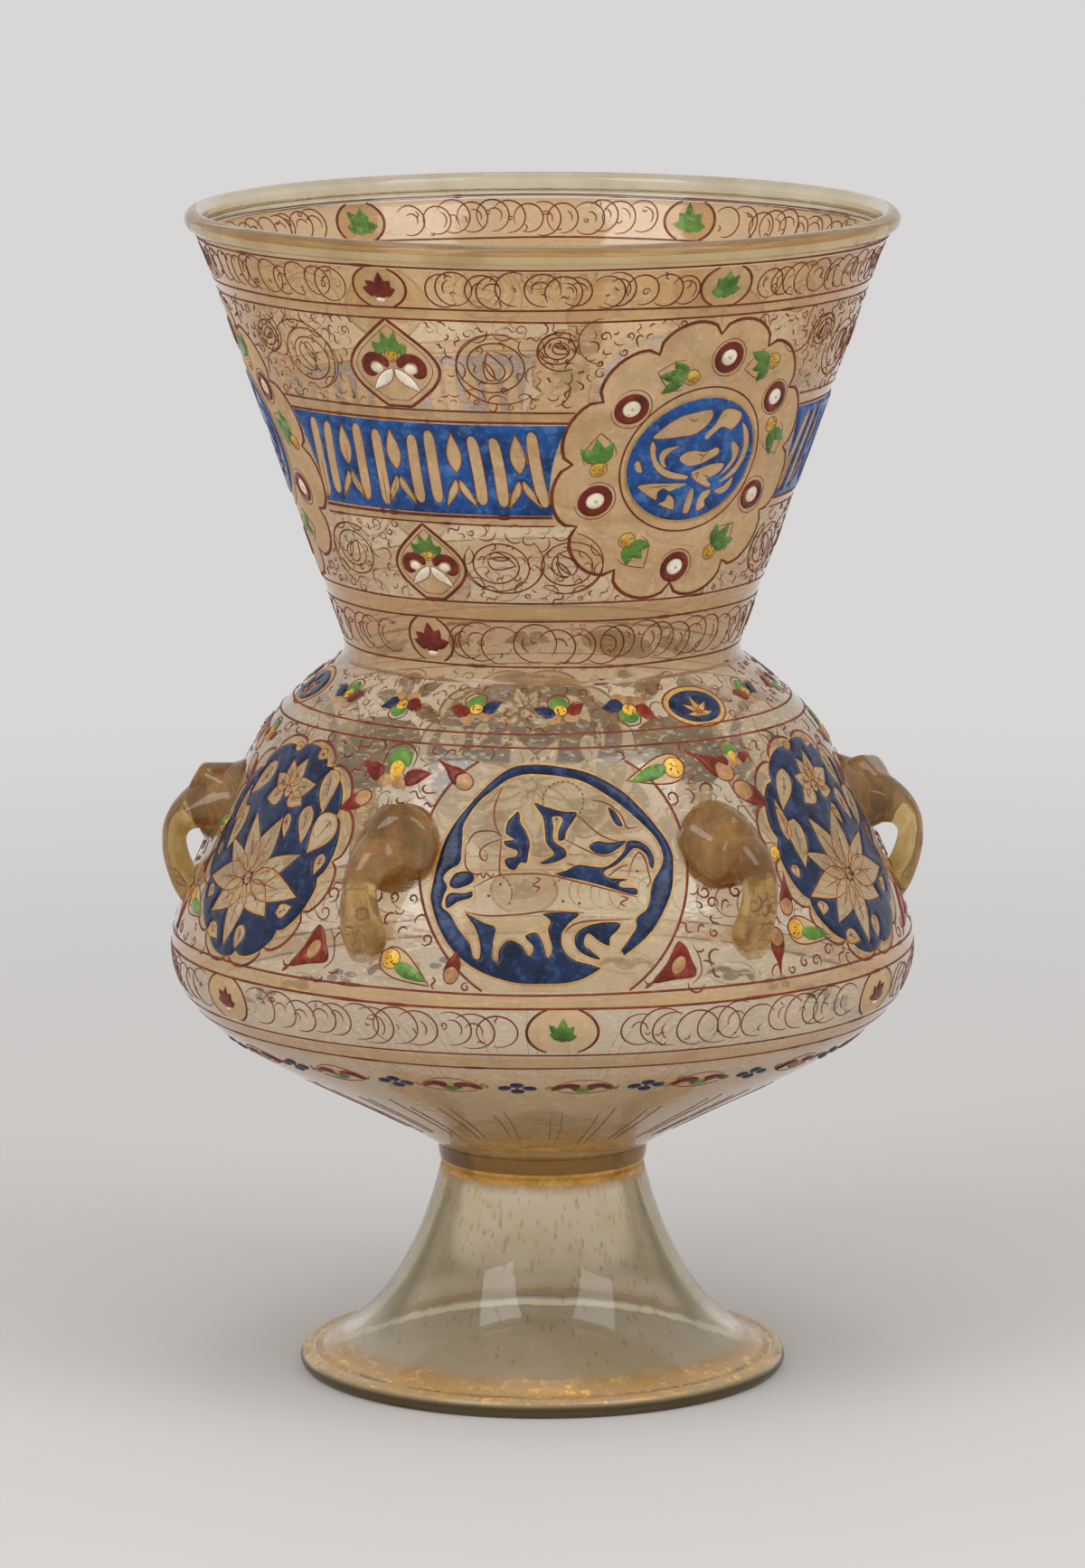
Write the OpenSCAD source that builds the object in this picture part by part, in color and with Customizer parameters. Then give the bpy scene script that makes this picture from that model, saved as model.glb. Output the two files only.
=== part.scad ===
// Hanging lamp of enamelled glass: a blown bulb with a flared neck, a blown foot
// joined to it by a ring, six applied loops for chains, and raised enamel fired on.
// Sizes are in millimetres. The lamp stands on Z = 0 with its axis on Z.
// Azimuths are in degrees, counted from the front (-Y) towards +X.

/* [Vessel] */
// Height of the lip above the table
lamp_h = 285; // [278:1:296]
// Outer diameter of the lip
lip_d = 172.4; // [164:0.2:180]
// Outer diameter of the neck at its narrow foot
throat_d = 96.2; // [92:0.2:102]
// Height of the crease where the neck meets the shoulder
throat_z = 177; // [174:0.5:181]
// Height of the upright stretch above the crease
throat_h = 4; // [3:0.5:6]
// Diameter where the shoulder runs into the side of the bulb
shoulder_d = 142.4; // [138:0.2:147]
// Height where the shoulder runs into the side of the bulb
shoulder_z = 152.4; // [150:0.2:155]
// Greatest diameter of the bulb
belly_d = 181; // [176:0.2:187]
// Height of the greatest diameter
belly_z = 105.4; // [103:0.2:108]
// Thickness of the blown wall
wall_t = 2.4; // [1.8:0.1:3]
// Thickness of the round lip
lip_bead_d = 4.8; // [4:0.1:6]
// Height of the push-up in the floor of the bulb
kick_h = 7; // [4:0.5:10]
// Thickness of the floor of the bulb
floor_t = 4; // [3:0.5:5]

/* [Collar and foot] */
// Height of the foot, up to the collar
foot_h = 51; // [48:0.5:53]
// Diameter of the foot over its rolled rim
foot_d = 119; // [110:0.5:128]
// Diameter of the foot at its top
join_d = 49.4; // [46:0.2:53]
// Thickness of the foot's wall
foot_wall_t = 2.6; // [2:0.1:3.2]
// Thickness of the rolled rim of the foot
foot_bead_d = 5; // [4.4:0.1:6]
// How much of the rolled rim is ground away for a level stand
ground_off = 0.3; // [0.2:0.05:0.5]
// Height of the ring of glass that joins the foot to the bulb
collar_h = 5; // [4:0.5:6]
// How far the ring stands out from the top of the foot
collar_proud = 1.1; // [0.6:0.1:1.6]
// Clearance along each fused seam
seam_gap = 0.02; // [0.01:0.01:0.05]

/* [Loops] */
// Height of the middle of a loop's root on the wall
loop_root_z = 140.8; // [138:0.2:144]
// Height of the end of a loop's tail on the wall
loop_tail_z = 115; // [113:0.2:118]
// How far the trail is led out beyond the belly's radius before it bends down
loop_reach = 7.4; // [6:0.1:9]
// Thickness of the trail at its bend
trail_t = 6.1; // [5.6:0.1:6.8]
// Width of the trail at its bend
trail_w = 8.8; // [8:0.2:10]
// Height of the pad at the root
root_t = 19.4; // [18:0.2:21]
// Width of the pad at the root
root_w = 24; // [20:0.5:26]

/* [Enamel] */
// How far the enamel stands proud of the glass
enamel_t = 0.5; // [0.3:0.05:0.8]
// Lower edge of the panels round the neck
panel_low_z = 218.4; // [214:0.2:222]
// Upper edge of the panels round the neck
panel_high_z = 241.4; // [238:0.2:246]
// Number of upright leaves reserved in a neck panel
panel_leaves = 9; // [5:2:11]
// Radius of the lobed medallions on the neck, which the panels stop at
neck_medallion_r = 35; // [32:0.5:37]
// Radius of the disc within a neck medallion
neck_disc_r = 18.6; // [16:0.2:21]
// Height of the middle of the neck medallions
neck_medallion_z = 231.4; // [229:0.2:234]
// Radius of the roundels and medallions on the bulb
bulb_roundel_r = 26.5; // [24:0.5:28]
// Height of the middle of the roundels on the bulb
bulb_roundel_z = 136.4; // [134:0.2:139]
// Width of the ring round a bulb roundel
ring_w = 3.6; // [2.5:0.1:4.5]
// Height of the middle of the small roundels on the shoulder
shoulder_roundel_z = 170; // [169:0.2:171]
// Height of the middle of the small medallions below the belly line
band_medallion_z = 100.9; // [99:0.1:102]

/* [Hidden] */
$fn = 72;

glass_colour = [0.80, 0.74, 0.60, 0.45];
amber_colour = [0.64, 0.52, 0.30, 0.8];
blue_colour = [0.12, 0.29, 0.62];
green_colour = [0.26, 0.56, 0.24];
red_colour = [0.42, 0.14, 0.11];

// Azimuths of the first of each set, and the steps round the lamp
loop_az = 30;
loop_step = 60;
third = 120;
panel_az = -30;
neck_medallion_az = 30;
roundel_az = 0;
medallion_az = 60;
shoulder_az = 37.5;

// Heights and radii that follow from the sizes above
base_z = foot_h + collar_h;
lip_r = lip_d / 2;
lip_bead_r = lip_bead_d / 2;
throat_r = throat_d / 2;
belly_r = belly_d / 2;
shoulder_r = shoulder_d / 2;
join_r = join_d / 2;
seat_flare = 0.9;
seat_r = join_r + seat_flare;
foot_r = foot_d / 2;
foot_bead_r = foot_bead_d / 2;

// Slopes of the drawn curve, in degrees from the horizontal
crease_slope = 41;
shoulder_slope = 62.5;
underside_slope = 33;
foot_top_slope = 14.2;
foot_rim_slope = 23.2;

// How far each end of a curve keeps to its slope
underside_reach = 35;
below_belly_reach = 21.7;
above_belly_reach = 12.1;
side_reach = 5.4;
shoulder_reach = 14.6;
crease_reach = 16;
foot_top_reach = 19.6;
foot_rim_reach = 21.8;

// Points of a Bezier curve of four control points, less the first
curve_steps = 9;
long_steps = 12;
function bezier(p, n = curve_steps) = [for (i = [1 : n]) let (t = i / n, s = 1 - t)
    s * s * s * p[0] + 3 * s * s * t * p[1] + 3 * s * t * t * p[2] + t * t * t * p[3]];
function polar(length, angle) = length * [cos(angle), sin(angle)];

// Outer line of the vessel as [radius, height], from the seat on the collar up to the lip
seat = [seat_r, base_z];
belly = [belly_r, belly_z];
shoulder = [shoulder_r, shoulder_z];
crease = [throat_r, throat_z];
neck_foot = [throat_r, throat_z + throat_h];
lip = [lip_r - lip_bead_r + wall_t / 2, lamp_h - lip_bead_r];
lip_flare_h = 8;
lip_flare = 0.9;
neck_top = [lip[0] - lip_flare, lip[1]]
    + lip_flare_h * [(throat_r - lip[0] + lip_flare) / (lip[1] - neck_foot[1]), -1];
outer_line = concat([seat],
    bezier([seat, seat + polar(underside_reach, underside_slope),
        belly - [0, below_belly_reach], belly], long_steps),
    bezier([belly, belly + [0, above_belly_reach],
        shoulder + polar(side_reach, -shoulder_slope), shoulder]),
    bezier([shoulder, shoulder + polar(shoulder_reach, 180 - shoulder_slope),
        crease + polar(crease_reach, -crease_slope), crease]),
    [neck_foot, neck_top, lip]);

// Radius of the outer line at a height, its lean there, and a point off its face
line_table = [for (p = outer_line) [p[1], p[0]]];
function wall_r(z) = lookup(z, line_table);
lean_span = 0.6;
function lean(z) = (wall_r(z + lean_span) - wall_r(z - lean_span)) / (2 * lean_span);
function off_face(z, d) = [wall_r(z), z] + d / sqrt(1 + lean(z) * lean(z)) * [1, -lean(z)];

// A line of points moved sideways by d, to its left hand as it runs
function side_of(line, i) = let (a = line[max(i - 1, 0)], b = line[min(i + 1, len(line) - 1)],
    v = (b - a) / norm(b - a)) [-v[1], v[0]];
function moved(line, d) = [for (i = [0 : len(line) - 1]) line[i] + d * side_of(line, i)];
function reversed(line) = [for (i = [len(line) - 1 : -1 : 0]) line[i]];

// Inner line of the vessel, with the push-up in its floor
floor_fillet = 1.5;
seat_w = 3.8;
inner_side = [for (p = moved(outer_line, wall_t)) if (p[1] > base_z + floor_t + floor_fillet) p];
kick_r = seat_r - seat_w;
kick_steps = 7;
function dome(r, z, h) = [for (i = [0 : kick_steps]) [r * i / kick_steps,
    z + h * (1 + cos(180 * i / kick_steps)) / 2]];
floor_line = dome(inner_side[0][0] - floor_fillet, base_z + floor_t, kick_h);
under_line = dome(kick_r, base_z, kick_h);

module vessel() {
    color(glass_colour) rotate_extrude() union() {
        polygon(concat(under_line, outer_line, reversed(inner_side), reversed(floor_line)));
        translate([lip_r - lip_bead_r, lamp_h - lip_bead_r]) circle(r = lip_bead_r);
    }
}

// The whole space within the outer line, which loops are cut back to
module outer_form() {
    rotate_extrude() polygon(concat([[0, base_z]], outer_line, [[0, lip[1]]]));
}

collar_in_r = join_r - foot_wall_t;
collar_low_z = foot_h + seam_gap;
collar_high_z = base_z - seam_gap;
module collar() {
    bulge_r = (collar_high_z - collar_low_z) / 2;
    color(amber_colour) rotate_extrude() union() {
        translate([collar_in_r, collar_low_z])
            square([join_r + collar_proud - bulge_r - collar_in_r, 2 * bulge_r]);
        translate([join_r + collar_proud - bulge_r, collar_low_z + bulge_r]) circle(r = bulge_r);
    }
}

// Outer line of the foot, from its top down to the rolled rim
foot_bead_z = foot_bead_r - ground_off;
foot_top = [join_r, foot_h];
rim_sink = 0.7;
foot_end = [foot_r - foot_bead_r, foot_bead_z + rim_sink * foot_bead_r];
foot_line = concat([foot_top], bezier([foot_top, foot_top + polar(foot_top_reach, foot_top_slope - 90),
    foot_end + polar(foot_rim_reach, 180 - foot_rim_slope), foot_end], long_steps));
foot_inner_line = moved(foot_line, -foot_wall_t);

module foot() {
    color(glass_colour) rotate_extrude() union() {
        polygon(concat([[join_r - foot_wall_t, foot_h]],
            [for (p = foot_inner_line) if (p[1] < foot_h - 1) p], reversed(foot_line)));
        intersection() {
            translate([foot_r - foot_bead_r, foot_bead_z]) circle(r = foot_bead_r);
            square([foot_d, foot_bead_d]);
        }
    }
}

// A loop is a trail of glass led out from a fat root, round an eye and down to a tail.
// Its middle line is a Bezier curve in the plane of the axis, and its section is an oval.
loop_bury = 5;
root_mid = [wall_r(loop_root_z) - loop_bury, loop_root_z];
tail_mid = [wall_r(loop_tail_z) - loop_bury, loop_tail_z];
loop_rise = 0.8;
tail_lead = 11;
lead_out = [belly_r + loop_reach, loop_root_z + loop_rise];
lead_in = [belly_r - 1, loop_tail_z + tail_lead];
loop_steps = 18;
loop_mid = concat([root_mid], bezier([root_mid, lead_out, lead_in, tail_mid], loop_steps));
loop_last = len(loop_mid) - 1;
tail_swell = 0.36;
function fade(t, from, to) = max(0, min(1, (t - from) / (to - from)));
root_end = 0.52;
root_power = 2.1;
tail_start = 0.8;
past_end = 1.001;
function root_part(t) = pow(1 - fade(t, 0, root_end), root_power);
function tail_part(t) = sqrt(1 - pow(fade(t, tail_start, past_end), 2)) * (1 + tail_swell * fade(t, root_end, tail_start));
function half_t(t) = (trail_t + (root_t - trail_t) * root_part(t)) / 2 * tail_part(t);
function half_w(t) = (trail_w + (root_w - trail_w) * root_part(t)) / 2 * tail_part(t);
loop_sides = 18;
loop_points = [for (i = [0 : loop_last]) let (p = loop_mid[i], s = side_of(loop_mid, i), t = i / loop_last)
    for (k = [0 : loop_sides - 1]) let (a = 360 * k / loop_sides)
        [p[0] + s[0] * half_t(t) * cos(a), half_w(t) * sin(a), p[1] + s[1] * half_t(t) * cos(a)]];
function ring_point(i, k) = i * loop_sides + k % loop_sides;
loop_faces = concat([[for (k = [0 : loop_sides - 1]) k]],
    [for (i = [0 : loop_last - 1]) for (k = [0 : loop_sides - 1])
        each [[ring_point(i, k), ring_point(i + 1, k), ring_point(i + 1, k + 1)],
            [ring_point(i, k), ring_point(i + 1, k + 1), ring_point(i, k + 1)]]],
    [[for (k = [loop_sides - 1 : -1 : 0]) ring_point(loop_last, k)]]);

// Turns a piece drawn at +X to an azimuth counted from the front
module at_az(az) { rotate([0, 0, az - 90]) children(); }

module loop(i) {
    color(amber_colour) at_az(loop_az + loop_step * (i - 1)) difference() {
        polyhedron(loop_points, loop_faces, convexity = 6);
        outer_form();
    }
}

// A skin of enamel on the glass between two heights, half_span degrees to each side of +X
module skin(low_z, high_z, half_span) {
    heights = concat([low_z], [for (p = outer_line) if (p[1] > low_z && p[1] < high_z) p[1]], [high_z]);
    rotate([0, 0, -half_span]) rotate_extrude(angle = 2 * half_span)
        polygon(concat([for (z = heights) off_face(z, 0)],
            reversed([for (z = heights) off_face(z, enamel_t)])));
}

// Cuts a flat shape square through the wall at a height, its Y up the slope of the wall
cut_depth = 30;
module through_wall(z) {
    translate([wall_r(z), 0, z]) rotate([0, atan(lean(z)), 0]) rotate([90, 0, 90])
        linear_extrude(height = cut_depth, center = true) children();
}

// A leaf with two pointed ends, standing on the origin
module leaf(length, width) {
    r = (length * length + width * width) / (4 * width);
    translate([0, length / 2]) intersection_for (side = [-1, 1])
        translate([side * (r - width / 2), 0]) circle(r = r);
}

module oval(length, height) {
    oval_points = 40;
    polygon([for (i = [0 : oval_points - 1]) let (a = 360 * i / oval_points)
        [length / 2 * cos(a), height / 2 * sin(a)]]);
}

// A round outline with lobes
module lobed(r, lobes) {
    lobe_r = r * sin(180 / lobes) * 1.12;
    circle(r = r - lobe_r * 0.6);
    for (i = [0 : lobes - 1]) rotate(360 * i / lobes) translate([r - lobe_r, 0]) circle(r = lobe_r);
}

// A panel of the neck with upright leaves reserved in it, stopped at the medallions
panel_half_span = 37;
panel_margin = 1.6;
panel_leaf_span = 27;
leaf_slimness = 7;
module neck_panel(i) {
    panel_h = panel_high_z - panel_low_z;
    panel_mid_z = (panel_low_z + panel_high_z) / 2;
    leaf_step = 2 * panel_leaf_span / (panel_leaves + 1);
    slope_h = panel_h * sqrt(1 + lean(panel_mid_z) * lean(panel_mid_z));
    leaf_h = slope_h - 2 * panel_margin;
    color(blue_colour) at_az(panel_az + third * (i - 1)) difference() {
        skin(panel_low_z, panel_high_z, panel_half_span);
        for (side = [-1, 1]) rotate([0, 0, side * third / 2])
            through_wall(neck_medallion_z) circle(r = neck_medallion_r);
        for (k = [0 : panel_leaves - 1]) rotate([0, 0, (k - (panel_leaves - 1) / 2) * leaf_step])
            through_wall(panel_mid_z) translate([0, -leaf_h / 2]) leaf(leaf_h, leaf_h / leaf_slimness);
    }
}

// The disc within a neck medallion, with an open flower of leaves reserved in it
module neck_disc(i) {
    reach_z = neck_disc_r + 2;
    color(blue_colour) at_az(neck_medallion_az + third * (i - 1)) intersection() {
        skin(neck_medallion_z - reach_z, neck_medallion_z + reach_z, 22);
        through_wall(neck_medallion_z) difference() {
            circle(r = neck_disc_r);
            for (a = [0 : 60 : 300]) rotate(a) translate([0, neck_disc_r * 0.16])
                leaf(neck_disc_r * 0.46, neck_disc_r * 0.2);
            for (a = [30 : 60 : 330]) rotate(a) translate([0, neck_disc_r * 0.56]) rotate(35)
                leaf(neck_disc_r * 0.34, neck_disc_r * 0.16);
        }
    }
}

// A running animal of leaf shapes, one unit for its body length
module runner(size) {
    translate([-size / 2, 0]) rotate(-90) leaf(size, size * 0.3);
    translate([size * 0.3, 0]) rotate(-38) leaf(size * 0.4, size * 0.17);
    translate([size * 0.48, size * 0.26]) rotate(-100) leaf(size * 0.28, size * 0.13);
    translate([size * 0.5, size * 0.27]) rotate(20) leaf(size * 0.2, size * 0.07);
    for (k = [-1, 1]) {
        translate([size * 0.24 * k, -size * 0.02]) rotate(180 + 42 * k) leaf(size * 0.42, size * 0.09);
        translate([size * 0.34 * k, 0]) rotate(180 + 62 * k) leaf(size * 0.4, size * 0.08);
    }
    translate([-size * 0.42, size * 0.02]) rotate(48) leaf(size * 0.3, size * 0.07);
}

// A roundel of the bulb: a ring round two running animals reserved in the ground
module bulb_roundel(i) {
    reach_z = bulb_roundel_r + 1;
    ground_r = bulb_roundel_r - ring_w;
    color(blue_colour) at_az(roundel_az + third * (i - 1)) intersection() {
        skin(bulb_roundel_z - reach_z, bulb_roundel_z + reach_z, 26);
        through_wall(bulb_roundel_z) difference() {
            circle(r = bulb_roundel_r);
            translate([0, ground_r * 0.34]) runner(ground_r * 0.98);
            translate([0, -ground_r * 0.46]) runner(ground_r * 0.9);
        }
    }
}

// A lobed medallion of the bulb, with a water lily of leaves reserved in it
lily_petals = 7;
module bulb_medallion(i) {
    reach_z = bulb_roundel_r + 1;
    color(blue_colour) at_az(medallion_az + third * (i - 1)) intersection() {
        skin(bulb_roundel_z - reach_z, bulb_roundel_z + reach_z, 26);
        through_wall(bulb_roundel_z) difference() {
            lobed(bulb_roundel_r, 10);
            for (k = [0 : lily_petals - 1]) rotate((k - (lily_petals - 1) / 2) * 36)
                translate([0, bulb_roundel_r * 0.1]) leaf(bulb_roundel_r * 0.56, bulb_roundel_r * 0.16);
            for (side = [-1, 1]) {
                translate([side * bulb_roundel_r * 0.1, -bulb_roundel_r * 0.2]) rotate(-side * 150)
                    leaf(bulb_roundel_r * 0.52, bulb_roundel_r * 0.2);
                translate([side * bulb_roundel_r * 0.3, bulb_roundel_r * 0.66]) rotate(-side * 70)
                    leaf(bulb_roundel_r * 0.3, bulb_roundel_r * 0.12);
            }
        }
    }
}

// A small oval roundel of the shoulder with a sprig reserved in it
shoulder_roundel_w = 15;
shoulder_roundel_h = 9.6;
module shoulder_roundel(i) {
    reach_z = shoulder_roundel_h / 2 + 1;
    color(blue_colour) at_az(shoulder_az + third * (i - 1)) intersection() {
        skin(shoulder_roundel_z - reach_z, shoulder_roundel_z + reach_z, 12);
        through_wall(shoulder_roundel_z) difference() {
            oval(shoulder_roundel_w, shoulder_roundel_h);
            for (a = [-90, -35, 35, 90]) rotate(a) translate([0, shoulder_roundel_h * 0.08])
                leaf(shoulder_roundel_h * (abs(a) > 60 ? 0.55 : 0.34), shoulder_roundel_h * 0.14);
        }
    }
}

// A palmette: leaves spread from a round heart, the middle one longest
palmette_spread = 42;
palmette_leaf = 0.66;
palmette_droop = 0.0016;
module palmette(h) {
    circle(r = h * 0.19);
    for (a = [-2 * palmette_spread : palmette_spread : 2 * palmette_spread])
        rotate(a) leaf(h * (palmette_leaf - palmette_droop * abs(a)), h * 0.3);
}

// A small medallion below the belly line, a palmette in green and red in turn
band_half_span = 9;
band_medallion_h = 10.6;
module band_medallion(i) {
    reach_z = band_medallion_h / 2 + 1;
    color(i % 2 == 1 ? green_colour : red_colour) at_az(loop_step * (i - 1)) intersection() {
        skin(band_medallion_z - reach_z, band_medallion_z + reach_z, band_half_span);
        through_wall(band_medallion_z) translate([0, -band_medallion_h * 0.16]) palmette(band_medallion_h);
    }
}

vessel();
collar();
foot();
loop(1);  // loop_1
loop(2);  // loop_2
loop(3);  // loop_3
loop(4);  // loop_4
loop(5);  // loop_5
loop(6);  // loop_6
neck_panel(1);  // neck_panel_1
neck_panel(2);  // neck_panel_2
neck_panel(3);  // neck_panel_3
neck_disc(1);  // neck_disc_1
neck_disc(2);  // neck_disc_2
neck_disc(3);  // neck_disc_3
bulb_roundel(1);  // bulb_roundel_1
bulb_roundel(2);  // bulb_roundel_2
bulb_roundel(3);  // bulb_roundel_3
bulb_medallion(1);  // bulb_medallion_1
bulb_medallion(2);  // bulb_medallion_2
bulb_medallion(3);  // bulb_medallion_3
shoulder_roundel(1);  // shoulder_roundel_1
shoulder_roundel(2);  // shoulder_roundel_2
shoulder_roundel(3);  // shoulder_roundel_3
band_medallion(1);  // band_medallion_1
band_medallion(2);  // band_medallion_2
band_medallion(3);  // band_medallion_3
band_medallion(4);  // band_medallion_4
band_medallion(5);  // band_medallion_5
band_medallion(6);  // band_medallion_6
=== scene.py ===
# Looks of a hanging lamp of enamelled and gilded glass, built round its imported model.
import math
import random

import bpy
import numpy as np
from bpy.props import FloatProperty, FloatVectorProperty, IntProperty, PointerProperty
from bpy.types import Operator, Panel, PropertyGroup
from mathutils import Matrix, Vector, geometry


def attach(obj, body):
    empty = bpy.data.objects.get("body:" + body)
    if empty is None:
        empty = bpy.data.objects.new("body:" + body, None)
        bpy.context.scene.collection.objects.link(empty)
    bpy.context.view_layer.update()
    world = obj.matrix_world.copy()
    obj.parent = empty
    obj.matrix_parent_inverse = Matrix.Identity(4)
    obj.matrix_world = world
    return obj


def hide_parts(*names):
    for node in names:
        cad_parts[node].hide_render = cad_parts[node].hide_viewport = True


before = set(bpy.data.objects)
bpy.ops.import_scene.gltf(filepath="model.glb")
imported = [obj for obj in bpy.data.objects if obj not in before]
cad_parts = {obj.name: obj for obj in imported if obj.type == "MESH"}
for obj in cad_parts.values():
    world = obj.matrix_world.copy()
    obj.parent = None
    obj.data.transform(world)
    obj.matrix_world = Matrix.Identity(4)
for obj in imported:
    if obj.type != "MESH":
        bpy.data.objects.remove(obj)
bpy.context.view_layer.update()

bl_info = {
    "name": "Enamelled glass lamp",
    "version": (1, 0, 0),
    "blender": (4, 5, 0),
    "location": "View3D > Sidebar > Lamp",
    "description": "Builds a hanging lamp of blown glass with fired enamel and gilding",
    "category": "Object",
}

MM = 0.001
FULL_TURN = 2 * math.pi
TINY = 1e-9

# Points of the glass as radius and height, its beads with their own radius, and other sizes,
# in millimetres
SEAT = (25.6, 56.0)
BELLY = (90.5, 105.4)
SHOULDER = (71.2, 152.4)
CREASE = (48.1, 177.0)
NECK_FOOT = (48.1, 181.0)
NECK_TOP = (81.265, 274.6)
LIP = (85.0, 282.6)
LIP_BEAD = (83.8, 282.6, 2.4)
WALL_T = 2.4
FLOOR_Z = 60.0
KICK_H = 7.0
KICK_R = 21.8
FOOT_TOP = (24.7, 51.0)
FOOT_END = (57.0, 3.95)
FOOT_BEAD = (57.0, 2.2, 2.5)
FOOT_T = 2.6
COLLAR_R = 22.1
COLLAR_Z = (51.02, 55.98)

# Handles of the curves between those points, as length in millimetres and angle in degrees
SEAT_HANDLE = (35, 33)
BELLY_HANDLES = ((21.7, -90), (12.1, 90))
SHOULDER_HANDLES = ((5.4, -62.5), (14.6, 117.5))
CREASE_HANDLE = (16, -41)
FOOT_HANDLES = ((19.6, -75.8), (21.8, 156.8))

# Loops: heights of root and tail, reach past the belly, thickness and width of trail and root,
# and depth in the wall
LOOP_ROOT_Z = 140.8
LOOP_TAIL_Z = 115.0
LOOP_REACH = 7.4
LOOP_TRAIL = (6.1, 8.8)
LOOP_ROOT = (19.4, 24.0)
LOOP_SINK = 0.5

# Zones of the decoration by height in millimetres
TOP_BAND = (269.1, 279.0)
UPPER_FIELD = (244.4, 266.4)
PANEL_ZONE = (218.4, 241.4)
LOWER_FIELD = (196.7, 216.2)
NECK_BAND = (180.4, 192.2)
SHOULDER_BAND = (166.7, 176.2)
BULB_FIELD = (109.9, 163.7)
BELLY_BAND = (95.4, 106.4)

# Azimuths of medallions, panels and loops in degrees from the front, and their heights
NECK_MEDALLIONS = (30, 150, 270)
PANELS = (-30, 90, 210)
TOP_OVALS = ((-31, "red"), (29, "green"), (90, "red"), (150, "green"), (211, "green"), (270, "red"))
ROUNDELS = (-1, 119, 239)
LOBED = (60, 180, 300)
LOOPS = (30, 90, 150, 210, 270, 330)
SHOULDER_OVALS = (37.5, 157.5, 277.5)
BAND_MEDALLIONS = (0, 60, 120, 180, 240, 300)
MEDALLION_Z = 231.4
UPPER_ALMOND_Z = 255.6
LOWER_ALMOND_Z = 206.4
NECK_OVAL_Z = 186.6
TOP_OVAL_Z = 274.0
FLOWER_Z = 171.2
SHOULDER_OVAL_Z = 170.4
BULB_Z = 136.4
BAND_Z = 100.9
UNDER_FLOWER_Z = 84.8
RAY_Z = 69.0

# Half the width and height that a neck medallion keeps free
MEDALLION_REACH = (35.6, 37.0)

# How far drawn lines, films and enamel stand off the glass, in millimetres
EDGE_LIFT = 0.03
FILM_LIFT = 0.06
LINE_LIFT = 0.14
BACK_LIFT = -0.06

# Rounded edge of a patch, its row of points beside the rim, the room kept free of other points there,
# and how near two points are one, in millimetres
ROUND_OFF = 0.7
RIM_ROW = 0.32
RIM_CLEAR = 0.26
SAME_POINT = 1e-4

# Drawing above this height also shows on the far side of the open neck
LIP_ZONE = 258.0


def polar(length, angle):
    """Step of a length along an angle in degrees."""
    turn = math.radians(angle)
    return np.array([math.cos(turn), math.sin(turn)]) * length


def pairs(x, y):
    """Flat points from their two rows of coordinates."""
    return np.stack([x, y], axis=1)


def bezier(points, count):
    """Points along a Bezier curve of four control points."""
    t = np.linspace(0, 1, count + 1)[:, None]
    a, b, c, d = (np.array(p, float) for p in points)
    return (1 - t) ** 3 * a + 3 * (1 - t) ** 2 * t * b + 3 * (1 - t) * t * t * c + t**3 * d


def handled(start, start_handle, end_handle, end, count):
    """Points along a curve between two points with a handle at each."""
    start, end = np.array(start), np.array(end)
    return bezier([start, start + polar(*start_handle), end + polar(*end_handle), end], count)


def outer_line():
    """Outer line of the vessel from its seat on the collar up to the lip."""
    underside = handled(SEAT, SEAT_HANDLE, BELLY_HANDLES[0], BELLY, 60)
    side = handled(BELLY, BELLY_HANDLES[1], SHOULDER_HANDLES[0], SHOULDER, 40)
    top = handled(SHOULDER, SHOULDER_HANDLES[1], CREASE_HANDLE, CREASE, 40)
    return np.concatenate([underside, side[1:], top[1:], [NECK_FOOT, NECK_TOP, LIP]])


def foot_line():
    """Outer line of the foot from its top down to the rolled rim."""
    return handled(FOOT_TOP, *FOOT_HANDLES, FOOT_END, 48)


def left_hand(way):
    """Unit steps to the left of some steps."""
    way = way / np.maximum(np.linalg.norm(way, axis=1), TINY)[:, None]
    return pairs(-way[:, 1], way[:, 0])


def sideways(line, distance):
    """A line moved to its left hand by a distance."""
    return line + distance * left_hand(np.gradient(line, axis=0))


def sideways_closed(loop, distance):
    """A closed outline moved sideways, corners left rough."""
    return loop + distance * left_hand(np.roll(loop, -1, axis=0) - np.roll(loop, 1, axis=0))


def distances(line):
    """Distance along a line to each of its points."""
    return np.concatenate([[0], np.cumsum(np.hypot(*np.diff(line, axis=0).T))])


def spaced(line, step):
    """A line with its points a step apart."""
    way = distances(line)
    at = np.linspace(0, way[-1], max(2, round(way[-1] / step)))
    return pairs(np.interp(at, way, line[:, 0]), np.interp(at, way, line[:, 1]))


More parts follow.
